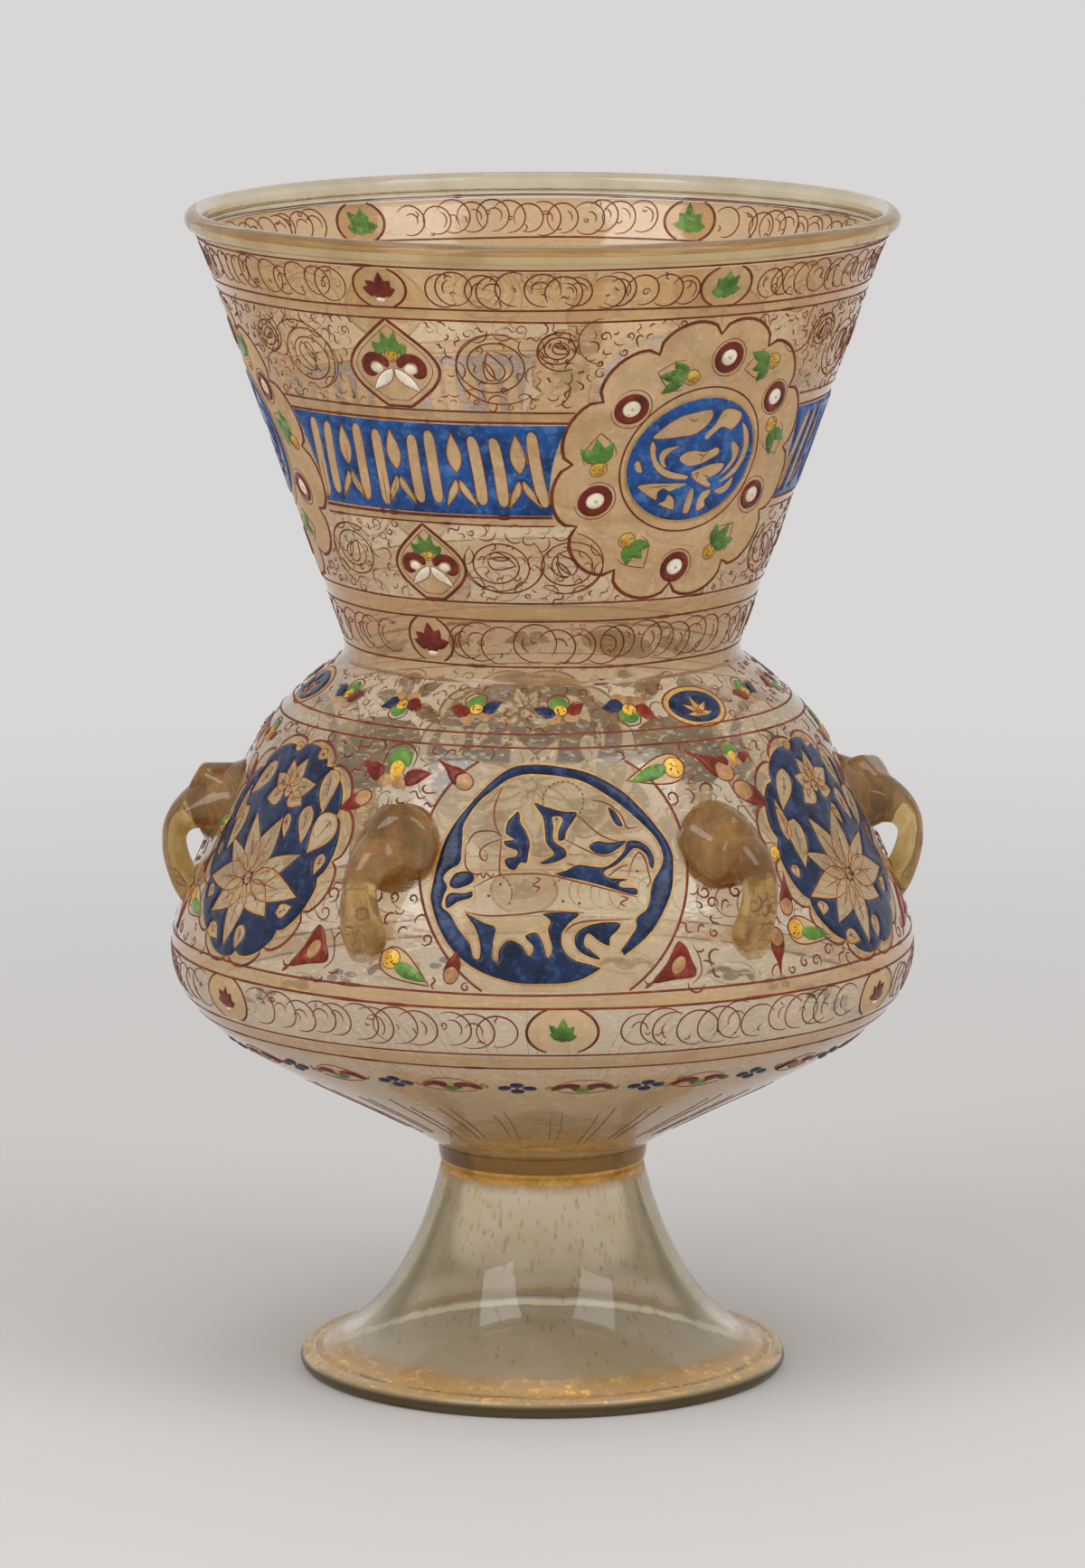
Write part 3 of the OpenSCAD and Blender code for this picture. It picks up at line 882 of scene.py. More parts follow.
SLOTS = {
    "line": "red_enamel", "red": "red_enamel", "green": "green_enamel",
    "blue": "blue_enamel", "navy": "blue_enamel",
}
FINISHES = {}


def finish(name):
    """The finish of a name, made once."""
    if name not in FINISHES:
        maker, *values = FINISH_MAKERS[name]
        FINISHES[name] = maker(*values)
    return FINISHES[name]


class Sheet:
    """Mesh of one finish that lies on the glass, gathered from many drawings."""

    def __init__(self):
        self.points = []
        self.faces = []
        self.count = 0

    def add(self, points, faces, flip=False):
        """Takes in points in metres and faces counted from the first of them."""
        self.points.append(points)
        for face in faces:
            numbers = [int(k) + self.count for k in face]
            self.faces.append(numbers[::-1] if flip else numbers)
        self.count += len(points)

    def make(self, name, material, slot=None, nodes=()):
        """Makes a piece of the sheet."""
        make_piece(name, np.concatenate(self.points), self.faces, finish(material), slot, nodes)


class Board:
    """The sheets of one part of the decoration, by finish, drawn at one spot at a time."""

    def __init__(self, *place, **ways):
        self.sheets = {}
        self.spot = Spot(*place, **ways) if place else None

    def at(self, *place, **ways):
        """Goes to a spot on the glass."""
        self.spot = Spot(*place, **ways)
        return self

    def add(self, name, flat, lift, faces, flip=False):
        """Lays flat points at the spot on the sheet of a finish."""
        sheet = self.sheets.setdefault(name, Sheet())
        sheet.add(self.spot.lay(flat, lift), faces, flip)

    def stroke(self, line, width, name="line", closed=False, taper=0.35, lift=LINE_LIFT):
        """A raised line drawn with a reed pen, thinner at its ends unless it is closed."""
        line = np.asarray(line, float)
        if closed:
            line = np.concatenate([line, line[:1]])
        n = len(line)
        side = left_hand(np.gradient(line, axis=0))
        swell = taper + (1 - taper) * np.sin(math.pi * np.linspace(0, 1, n)) ** 0.6
        if closed:
            side[0] = side[-1] = (side[0] + side[-1]) / 2
            swell = np.ones(n)
        half = (width / 2 * swell)[:, None] * side
        flat = np.stack([line + half, line, line - half], axis=1).reshape(-1, 2)
        faces = []
        for k in range(0, 3 * n - 3, 3):
            faces += [(k, k + 1, k + 4, k + 3), (k + 1, k + 2, k + 5, k + 4)]
        self.add(name, flat, np.tile([EDGE_LIFT, lift, EDGE_LIFT], n), faces, self.spot.flip)
        if self.spot.z > LIP_ZONE:
            flat = np.stack([line + half, line - half], axis=1).reshape(-1, 2)
            faces = [(k, k + 2, k + 3, k + 1) for k in range(0, 2 * n - 2, 2)]
            self.add(name, flat, BACK_LIFT, faces)

    def outline(self, line, width, name="line", lift=LINE_LIFT):
        """A raised line that closes on itself."""
        self.stroke(line, width, name, closed=True, lift=lift)

    def fill(self, name, outlines, holes=(), height=0.4, grid=0.8):
        """A raised patch with a rounded edge, less its holes."""
        own = [np.asarray(line, float) for line in outlines]
        cut = [np.asarray(line, float) for line in holes]
        rim = true_rim(own, cut)
        flat, faces = patch(own, cut, rim, grid)
        depth = np.clip(edge_distance(flat, *rim) / ROUND_OFF, 0, 1)
        lift = EDGE_LIFT + (height - EDGE_LIFT) * np.sqrt(1 - (1 - depth) ** 2)
        flip = self.spot.flip
        self.add(name, flat, lift, faces, flip)
        if self.spot.z > LIP_ZONE and height > FILM_LIFT:
            self.add(name, flat, BACK_LIFT, faces, not flip)

    def film(self, name, outlines, holes=(), grid=2.4):
        """A flat patch of gilding, less its holes."""
        self.fill(name, outlines, holes, FILM_LIFT, grid)

    def dot(self, name, x, y, r, height=0.25, sides=8):
        """A small round drop."""
        flat, faces = dome(r, r, (1.0, 0.62), sides)
        lift = np.repeat([EDGE_LIFT, height * 0.8, height], [sides, sides, 1])
        self.add(name, flat + (x, y), lift, faces, self.spot.flip)

    def make(self, prefix, nodes=None):
        """Makes a piece of each sheet, the named finishes standing for nodes."""
        for name, sheet in self.sheets.items():
            sheet.make(f"{prefix}_{name}", name, SLOTS.get(name), (nodes or {}).get(name, ()))


# Motifs of the decoration, drawn at the spot where the board stands


def comma(rng, size):
    """A short bent line of the pen."""
    kind = rng.choice(("arc", "arc", "hook", "wave", "curl"))
    turn = rng.uniform(0, 360)
    if kind == "arc":
        line = arc(0, 0, size * 0.5, 0, rng.uniform(90, 200), 7)
    elif kind == "hook":
        line = curve([(-0.5, 0.1), (0.1, 0.25), (0.4, 0.0), (0.25, -0.25)], 3) * size
    elif kind == "wave":
        line = curve([(-0.6, 0.0), (-0.25, 0.22), (0.15, -0.15), (0.55, 0.1)], 3) * size
    else:
        line = spiral(0, 0, size * 0.5, 0, 1.1, 0.3, 11)
    return moved(line, angle=turn)


# Points, wobble in millimetres and thickened places of a line drawn right round the glass
RING_STEPS = 260
RING_WOBBLE = 0.10
RING_ACCENTS = 9


def ring_line(board, z, width, rng, gaps):
    """A line drawn round the glass on the turning wheel, but for gaps given as middle and half width."""
    board.at(0, z, even=True)
    a = np.linspace(0, FULL_TURN, RING_STEPS)
    phases = [(n, rng.uniform(0, FULL_TURN), rng.uniform(0.3, 1.0)) for n in (1, 2, 3, 5, 9)]
    drift = sum(size * RING_WOBBLE * np.sin(n * a + phase) for n, phase, size in phases)
    ends = sorted([math.radians(az + k * half) % FULL_TURN for k in (-1, 1)] for az, half in gaps)
    stretches = [(ends[k - 1][1], ends[k][0]) for k in range(len(ends))] or [(0.0, FULL_TURN)]
    for start, end in stretches:
        along = np.linspace(start, end if end > start else end + FULL_TURN, RING_STEPS // len(stretches))
        height = np.interp(along % FULL_TURN, a, drift)
        line = pairs(along * VESSEL.radius_at(z), height)
        board.stroke(line, width, taper=1.0)
        for _ in range(RING_ACCENTS // len(stretches)):
            first = rng.randrange(len(line) - 8)
            part = line[first : first + rng.randint(3, 6)]
            board.stroke(part, width * rng.uniform(1.4, 1.9))


# Leaves of a vine as base, tip, width and bend, in shares of its radius
VINE_LEAVES = (((-0.1, -0.4), (0.25, 0.4), 0.5, 0.3), ((-0.2, -0.35), (-0.45, 0.2), 0.3, -0.4))


def vine(board, r, rng, width):
    """A round of gilded vine between two lines, with a curled leaf and pen strokes in it."""
    board.film("veil", [ring(0, 0, r, count=36)], [ring(0, 0, r * 0.84, count=32)], 2.0)
    start = rng.uniform(0, 360)
    x, y = polar(r * 0.08, start + 90)
    stretch = (1.16, 1.0)
    board.stroke(spiral(x, y, r, start, 2.1, 0.42, 64) * stretch, width, taper=0.5)
    outer = arc(-2 * x, -y, r * 1.08, start + 30, start + rng.uniform(200, 270), 30)
    board.stroke(outer * stretch, width, taper=0.5)
    turn = rng.uniform(0, 360)
    fine = width * 0.9
    for leaf_shape in VINE_LEAVES:
        board.outline(moved(petal(*leaf_shape) * r, angle=turn), fine)
    for k in range(7):
        angle = turn + 52 * k
        x, y = polar(r * rng.uniform(0.5, 0.78), angle)
        board.stroke(moved(comma(rng, r * 0.26), x, y), fine)
        x, y = polar(r * 1.16, angle + rng.uniform(-15, 15))
        board.stroke(moved(arc(0, 0, r * 0.3, -70, 70, 7), x, y, angle + 180), fine)


def scroll_row(board, rng, zone, step, skip, width, wide=1.0):
    """A row of arcs in a narrow band, each crossing the next, with small curls in them."""
    z = sum(zone) / 2
    tall = VESSEL.span(zone)
    count = round(360 / step)
    pitch = FULL_TURN / count * VESSEL.radius_at(z)
    way = 1
    for k in range(count):
        az = 360 * k / count + rng.uniform(-0.3, 0.3) * step
        if skip(az, z, pitch * 0.5):
            way = rng.choice((-1, 1))
            continue
        board.at(az, z, flip=way < 0)
        r = tall * rng.uniform(0.34, 0.42)
        y = rng.uniform(-0.05, 0.05) * tall
        end = rng.uniform(110, 160) + rng.choice((0, 0, 90))
        board.stroke(arc(0, y, r * wide, rng.uniform(-135, -90), end, 22, 1 / wide), width)
        if rng.random() < 0.7:
            start = rng.uniform(-70, 20)
            inner = arc(0.1 * r, y, r * rng.uniform(0.4, 0.65), start, start + rng.uniform(90, 190))
            board.stroke(inner, width * 0.9)
        x, y = rng.uniform(-0.4, 0.5) * pitch, rng.uniform(-0.34, 0.34) * tall
        board.stroke(moved(comma(rng, rng.uniform(1.2, 2.2)), x, y), width * 0.85)


def apart(az, other):
    """Degrees between two azimuths."""
    return abs((az - other + 180) % 360 - 180)


def blocked(shapes):
    """A test of whether a place with some room round it touches any shape.

    A shape is an azimuth, a height and half its width and height in millimetres.
    """
    kept = [(az, VESSEL.up(z), w, h) for az, z, w, h in shapes]

    def test(az, z, room):
        s = VESSEL.up(z)
        r = VESSEL.radius(s)
        for other, mid, w, h in kept:
            x = math.radians(apart(az, other)) * r / (w + room)
            y = (s - mid) / (h + room)
            if x * x + y * y < 1:
                return True
        return False

    return test


def scatter(rng, zone, gap, skip, tries):
    """Places in a zone that keep a gap from each other and from what is drawn already."""
    low, high = VESSEL.up(zone)
    found = np.empty((0, 3))
    for _ in range(tries):
        az = rng.uniform(-180, 180)
        s = rng.uniform(low + gap * 0.4, high - gap * 0.4)
        z = VESSEL.height(s)
        if skip(az, z, gap * 0.5):
            continue
        point = VESSEL.place(math.radians(az), s, 0.0)[None] / MM
        if len(found) and np.min(np.linalg.norm(found - point, axis=1)) < gap:
            continue
        found = np.concatenate([found, point])
        yield az, z


def pen_strokes(board, rng, places, sizes, widths):
    """Loose bent strokes at some places, their sizes and shares of the thin line between two values."""
    for place in places:
        line = comma(rng, rng.uniform(*sizes))
        board.at(*place).stroke(line, settings().thin_line * rng.uniform(*widths))


def dotted_drop(board, x, y, r, rng):
    """A yellow drop with dark dots."""
    board.dot("yellow", x, y, r, 0.34, 14)
    board.outline(ring(x, y, r * 1.08, count=16), 0.22)
    for _ in range(8):
        reach = r * 0.75 * math.sqrt(rng.random())
        dx, dy = polar(reach, rng.uniform(0, 360))
        board.dot("black", x + dx, y + dy, 0.22, 0.46, 6)


# Outlines of a lily of unit height
FLEUR_CROWN = np.array([
    (-0.20, 0.10), (-0.26, 0.28), (-0.14, 0.27), (-0.10, 0.44), (0.0, 0.33), (0.09, 0.45), (0.13, 0.28),
    (0.24, 0.25), (0.18, 0.10), (0.0, 0.16),
])
FLEUR_VOLUTE = np.array([
    (0.05, 0.00), (0.16, 0.12), (0.34, 0.12), (0.46, 0.00), (0.45, -0.16), (0.34, -0.22), (0.25, -0.17),
    (0.33, -0.12), (0.32, -0.02), (0.22, 0.00), (0.10, -0.08),
])


def fleur(board, h, rng):
    """A lily: a green crown, a dotted drop, two red volutes and white petals."""
    board.fill("green", [curve(FLEUR_CROWN * h, 4, True)])
    dotted_drop(board, 0, h * 0.10, h * 0.085, rng)
    for side in (-1, 1):
        board.fill("red", [curve(FLEUR_VOLUTE * h * (side, 1), 4, True)])
        board.fill("white", [ring(side * h * 0.24, -h * 0.09, h * 0.085, h * 0.07, 14)], (), 0.3, 0.7)
        fall = petal((side * h * 0.02, -h * 0.08), (side * h * 0.24, -h * 0.46), h * 0.17, side * 0.25)
        board.fill("white", [fall], (), 0.3)
        board.outline(fall, 0.26)


def flat_oval(w, h, tall, count):
    """A closed oval of half a width, cut flat at half a height."""
    edge = ring(0, 0, w, tall, count)
    edge[:, 1] = np.clip(edge[:, 1], -h, h)
    return edge


def oval_medallion(board, w, h, colour, rng, size):
    """An outlined oval of gilding with a fan of leaves of one colour on a pale or dotted heart."""
    tall = h * 1.12
    board.film("gilt", [flat_oval(w, h, tall, 60)], (), 2.0)
    for side in (-1, 1):
        board.stroke(arc(0, 0, w, -64, 64, 26, tall / w) * (side, 1), 0.75, taper=0.6)
    h = h * size
    board.fill(colour, [moved(p, 0, -h * 0.16) for p in palmette(h, rng)])
    if colour == "green":
        dotted_drop(board, 0, -h * 0.16, h * 0.13, rng)
    else:
        board.fill("white", [ring(0, -h * 0.34, h * 0.13, h * 0.09, 14)], (), 0.5, 0.6)


# Settings


class LampSettings(PropertyGroup):
    """Sizes, counts and colours that a user may change."""

    glass_sides: IntProperty(
        name="Glass sides", description="Facets round the turned glass", default=224, min=64
    )
    thin_line: FloatProperty(
        name="Thin line", description="Width of the finest drawn lines in millimetres",
        default=0.40, min=0.1,
    )
    bold_line: FloatProperty(
        name="Bold line", description="Width of the outlines of medallions in millimetres",
        default=0.95, min=0.2,
    )
    enamel_height: FloatProperty(
        name="Enamel height", description="How far enamel stands off the glass in millimetres",
        default=0.42,
    )
    seed: IntProperty(
        name="Hand", description="Seed of the small differences of a hand drawing", default=7
    )
    lens: FloatProperty(
        name="Lens", description="Focal length of the camera", default=193.4, unit="CAMERA"
    )
    floor_colour: FloatVectorProperty(
        name="Floor colour", description="Colour of the floor", subtype="COLOR",
        default=(0.430, 0.417, 0.411),
    )
    light_level: FloatProperty(
        name="Light level", description="Strength of the soft lamps", default=1.0, min=0.0
    )


def settings():
    """The lamp's settings in this scene."""
    return bpy.context.scene.lamp_settings


def hand(number):
    """Seeded chance for one part of the drawing."""
    return random.Random(settings().seed * 1000 + number)


def turned(name, section, slot):
    """A turned glass piece in the finish of its name, standing for the node of that name."""
    points, faces = lathe(section, settings().glass_sides)
    return make_piece(f"{name}_glass", points, faces, finish(name), slot, [name])


# Operators, one for each piece or group of like pieces


class LAMP_OT_vessel(Operator):
    """Builds the blown bulb and neck"""

    bl_idname = "lamp.vessel"
    bl_label = "Vessel"

    bead_arc = (-88, 212, 22)
    bead_gap = 0.4
    gilt_share = 0.45
    floor_round = 1.5
    floor_points = 12

    def execute(self, context):
        bead = arc(*LIP_BEAD, *self.bead_arc)
        outer = spaced(outer_line(), 1.5)
        outer = outer[outer[:, 1] < bead[0][1] - self.bead_gap]
        inner = spaced(sideways(spaced(outer_line(), 0.5), WALL_T), 2.4)
        inner = inner[inner[:, 1] > FLOOR_Z + self.floor_round]
        inner = inner[inner[:, 1] < bead[-1][1] - self.bead_gap]
        t = np.linspace(0, 1, self.floor_points)
        lift = KICK_H * (1 + np.cos(math.pi * t)) / 2
        under = pairs(KICK_R * t, SEAT[1] + lift)
        floor = pairs((inner[0, 0] - self.floor_round) * t, FLOOR_Z + lift)
        section = np.concatenate([under, outer, bead, inner[::-1], floor[::-1]])
        piece = turned("vessel", section, "clear_glass")
        row = np.arange(len(piece.data.polygons)) // settings().glass_sides
        first = len(under) + len(outer)
        gilt, plain = first + len(bead) * self.gilt_share, first + len(bead)
        zones = [row < first - 1, row < gilt, row < plain]
        paint_faces(piece, np.select(zones, [0, 3, 2], 1), "inner", "bead", "lip")
        return {"FINISHED"}


class LAMP_OT_foot(Operator):
    """Builds the trumpet foot, its bubbles and the ring of glass above it"""

    bl_idname = "lamp.foot"
    bl_label = "Foot and collar"

    rim_arcs = ((112, -61.6, 16), (-118.4, -206, 9))
    rim_gap = 0.2
    joint_height = 2.2
    collar_step, collar_flare, collar_bulge = 0.05, 0.75, 0.3
    gilt_rows = 4
    bubble_count = 420
    bubble_low, bubble_rise = 7, 41
    bubble_sides = 10
    bubble_depth = 1.2

    def execute(self, context):
        self.foot()
        self.collar()
        self.bubbles()
        return {"FINISHED"}

    def clear_of_rim(self, line):
        """The points of a line outside the rolled rim."""
        return line[np.linalg.norm(line - FOOT_BEAD[:2], axis=1) > FOOT_BEAD[2] + self.rim_gap]

    def foot(self):
        """The trumpet with its rolled rim, ground flat where it stands, and a gilt joint at its top."""
        r, z = FOOT_TOP
        outer = self.clear_of_rim(spaced(foot_line(), 1.5))
        inner = self.clear_of_rim(spaced(sideways(foot_line(), -FOOT_T), 1.8))
        inner = inner[inner[:, 1] < z - 1]
        rim = [arc(*FOOT_BEAD, *stretch) for stretch in self.rim_arcs]
        section = np.concatenate([outer, *rim, inner[::-1], [(r - FOOT_T, z)]])[::-1]
        high = section[:, 1] > z - self.joint_height
        gilt = high & np.roll(high, -1)
        piece = turned("foot", section, "clear_glass")
        paint_faces(piece, np.repeat(gilt, settings().glass_sides), "joint")

    def collar(self):
        """The ring of glass, a little bulged, its lowest rows gilt."""
        low, high = COLLAR_Z
        t = np.linspace(0, 1, 14)
        flare = self.collar_step + self.collar_flare * t + self.collar_bulge * np.sin(math.pi * t)
        outer = pairs(FOOT_TOP[0] + flare, low + (high - low) * t)
        section = np.concatenate([[(COLLAR_R, low)], outer, [(COLLAR_R, high)]])
        gilt = np.arange(len(section)) < self.gilt_rows
        piece = turned("collar", section, "amber_glass")
        paint_faces(piece, np.repeat(gilt, settings().glass_sides), "joint")

    def bubbles(self):
        """Small drawn-out bubbles in the thickness of the foot, with painted dark rings for the shade
        they show.
        """
        rng = hand(1)
        board = Board()
        for _ in range(self.bubble_count):
            az = rng.uniform(-180, 180)
            z = self.bubble_low + self.bubble_rise * rng.random() ** 0.8
            board.at(az, z, turn=rng.uniform(-12, 12), wall=FOOT)
            w = rng.uniform(0.24, 0.52)
            h = w * rng.uniform(1.2, 1.8 + z / 16)
            flat, faces = dome(w, h, (1.0, 0.75, 0.4), self.bubble_sides)
            lift = np.repeat([0.02, 0.62, 0.86, 0.92], [self.bubble_sides] * 3 + [1])
            board.add("bubbles", flat, w * lift - self.bubble_depth, faces)
        board.make("foot")


class LAMP_OT_loops(Operator):
    """Builds the six applied loops"""

    bl_idname = "lamp.loops"
    bl_label = "Loops"

    trail_sides = 32
    lump_rows, lump_sides = 30, 48
    lump_size = (8.4, 10.4, 10.8)
    lump_shift = (1.2, -1.8, 0.4)
    facets, facet_power = 15, 34

    def execute(self, context):
        for number, az in enumerate(LOOPS):
            lean = 1 - 2 * (number % 2)
            cos, sin = polar(1.0, az - 90)
            sheet = Sheet()
            for rows in (self.trail(hand(20 + number), lean), self.lump(hand(30 + number), lean)):
                x, y, z = np.moveaxis(self.out_of_wall(rows), -1, 0)
                points = np.stack([x * cos - y * sin, x * sin + y * cos, z], axis=-1) * MM
                sheet.add(points.reshape(-1, 3), self.tube_faces(*x.shape))
            name = f"loop_{number + 1}"
            sheet.make(f"{name}_glass", "amber", "amber_glass", [name])
        return {"FINISHED"}

    @staticmethod
    def tube_faces(rows, sides):
        """Faces of a tube of rows of points that run round, closed at both ends."""
        last = (rows - 1) * sides
        faces = [range(sides), range(last + sides - 1, last - 1, -1)]
        for low in range(0, last, sides):
            for k in range(low, low + sides):
                n = low + (k + 1) % sides
                faces.append((k, k + sides, n + sides, n))
        return faces

    @staticmethod
    def out_of_wall(rows):
        """Points at +X, those deep in the wall drawn out to just below its face."""
        x, y, z = np.moveaxis(rows, -1, 0)
        least = VESSEL.radius_at(z) - LOOP_SINK
        drawn_out = np.sqrt(np.maximum(least**2 - y**2, 1))
        return np.stack([np.where(np.hypot(x, y) < least, drawn_out, x), y, z], axis=-1)

    def lump(self, rng, lean):
        """Rows of the lump of glass at the root, pinched to blunt facets by the tongs, at +X."""
        planes = [(rng.gauss(0.3, 1), rng.gauss(0, 1), rng.gauss(0, 1)) for _ in range(self.facets)]
        planes = np.array(planes) / np.linalg.norm(planes, axis=1)[:, None]
        heights = np.array([rng.uniform(0.74, 0.94) for _ in planes])
        tilts = np.linspace(0.02, math.pi - 0.02, self.lump_rows)
        turns = np.linspace(0, FULL_TURN, self.lump_sides, endpoint=False)
        tilt, turn = np.meshgrid(tilts, turns, indexing="ij")
        way = np.stack([np.cos(tilt), np.sin(tilt) * np.cos(turn), np.sin(tilt) * np.sin(turn)], axis=-1)
        facing = np.maximum(way @ planes.T, 0) / heights
        reach = (1 + np.sum(facing**self.facet_power, axis=-1)) ** (-1 / self.facet_power)
        x, y, z = self.lump_shift
        base = (VESSEL.radius_at(LOOP_ROOT_Z) + x, y * lean, LOOP_ROOT_Z + z)
        return way * reach[..., None] * self.lump_size + base

    def trail(self, rng, lean):
        """Rows of one loop at +X: a fat root led out round an eye to a grooved tail on the wall."""
        root, tail = ((VESSEL.radius_at(z) - 5, z) for z in (LOOP_ROOT_Z, LOOP_TAIL_Z))
        out, back = (BELLY[0] + LOOP_REACH, LOOP_ROOT_Z + 0.8), (BELLY[0] - 1, LOOP_TAIL_Z + 11)
        mid = bezier([root, out, back, tail], 44)
        t = np.linspace(0, 1, len(mid))[:, None]

        def fade(low, high):
            """How far each row is along a stretch of the trail."""
            return np.clip((t - low) / (high - low), 0, 1)

        root_part = (1 - fade(0, 0.52)) ** 2.1
        tail_part = np.sqrt(1.001 - fade(0.80, 1.0) ** 2.6) * (1 + 0.24 * fade(0.50, 0.80))
        thick, wide = (
            (thin + (fat - thin) * root_part) / 2 * tail_part for thin, fat in zip(LOOP_TRAIL, LOOP_ROOT)
        )
        a = np.linspace(0, FULL_TURN, self.trail_sides, endpoint=False)
        waves = [(rng.randint(2, 5), rng.uniform(1, 4), rng.uniform(0, FULL_TURN)) for _ in range(5)]
        lumps = 1 + sum(0.018 * np.sin(n * a + m * 3 * t + p) for n, m, p in waves)
        groove = 0.9 * fade(0.45, 0.65) * np.exp(-((np.sin(a) / 0.3) ** 2)) * (np.cos(a) > 0)
        across = thick * np.cos(a) * lumps - groove
        side = left_hand(np.gradient(mid, axis=0))
        x, z = (mid[:, [k]] + side[:, [k]] * across for k in (0, 1))
        y = wide * np.sin(a) * lumps + 2.6 * lean * fade(0.1, 0.45)
        return np.stack([x, y, z], axis=-1)


class LAMP_OT_ring_lines(Operator):
    """Draws the red lines that run right round the glass"""

    bl_idname = "lamp.ring_lines"
    bl_label = "Ring lines"

    # Height and width of each line in millimetres
    lines = [
        (279.0, 0.5), (269.1, 0.5), (266.4, 0.5), (244.4, 0.5), (241.6, 0.6), (218.2, 0.8),
        (216.2, 0.45), (196.7, 0.5), (192.2, 0.5), (180.6, 0.5), (176.8, 1.0), (166.7, 0.55),
        (163.7, 0.55), (109.9, 0.55), (106.4, 0.55), (94.8, 0.5), (91.2, 0.55),
    ]

    def execute(self, context):
        rng = hand(40)
        board = Board()
        half_w, half_h = MEDALLION_REACH
        for z, width in self.lines:
            away = VESSEL.span((MEDALLION_Z, z)) / half_h
            gaps = []
            if abs(away) < 0.99:
                half = math.degrees(half_w * math.sqrt(1 - away**2) / VESSEL.radius_at(z))
                gaps = [(az, half) for az in NECK_MEDALLIONS]
            ring_line(board, z, width, rng, gaps)
        board.make("ring")
        return {"FINISHED"}


class LAMP_OT_neck_panels(Operator):
    """Lays the blue panels with upright leaves round the neck"""

    bl_idname = "lamp.neck_panels"
    bl_label = "Neck panels"

    pitch = 5.05
    room = 0.8

    def execute(self, context):
        tall = VESSEL.span(PANEL_ZONE)
        for number, az in enumerate(PANELS):
            name = f"neck_panel_{number + 1}"
            board = Board(az, sum(PANEL_ZONE) / 2)
            cuts = self.uprights(tall, hand(60 + number))
            board.film("gilt", cuts)
            panel = self.panel(board.spot.s, tall - self.room)
            board.fill("blue", [panel], cuts, settings().enamel_height, 1.1)
            for cut in cuts:
                board.outline(cut, 0.3)
                board.outline(sideways_closed(cut, -0.22), 0.4, "gold", 0.1)
            for cut in cuts[: len(cuts) // 2 : 2]:
                board.stroke((cut[1:7] + cut[-1:-7:-1]) / 2, 0.22)
            board.make(name, {"blue": [name]})
        return {"FINISHED"}

    @staticmethod
    def panel(s, tall):
        """A panel with hollow ends that follow the medallions beside it."""
        y = np.linspace(-tall / 2, tall / 2, 15)
        from_middle = s + y - VESSEL.up(MEDALLION_Z)
        hollow = np.sqrt(np.maximum(MEDALLION_REACH[0] ** 2 - from_middle**2, 0))
        right = pairs(VESSEL.radius(s + y) * math.radians(60) - hollow, y)
        left = right[::-1] * (-1, 1)
        top = np.linspace(right[-1], left[0], 40)[1:-1]
        low = np.linspace(left[-1], right[0], 40)[1:-1]
        return np.concatenate([right, top, left, low])

    def uprights(self, tall, rng):
        """Upright reeds and leaves, as holes in the blue."""
        cuts = []
        low, high = -tall * 0.44, tall * 0.44
        for k in range(13):
            x = (k - 6) * self.pitch + rng.uniform(-0.3, 0.3)
            if k % 3 != 2:
                start, end = low + rng.uniform(0.0, 1.6), high - rng.uniform(0.0, 2.4)
                base = (x + rng.uniform(-0.4, 0.4), start)
                tip = (x + rng.uniform(-0.4, 0.4), end)
                cuts.append(strap(base, tip, 3.0, rng.uniform(-0.5, 0.5)))
                continue
            tip = (x + rng.uniform(-0.5, 0.5), high - 1.0)
            cuts.append(petal((x, -tall * 0.04), tip, 3.8, count=13))
            for side in (-1, 1):
                base, tip = (x + side * 0.5, -tall * 0.10), (x + side * 1.4, low + 0.4)
                cuts.append(petal(base, tip, 2.2, side * 0.3))
        return cuts


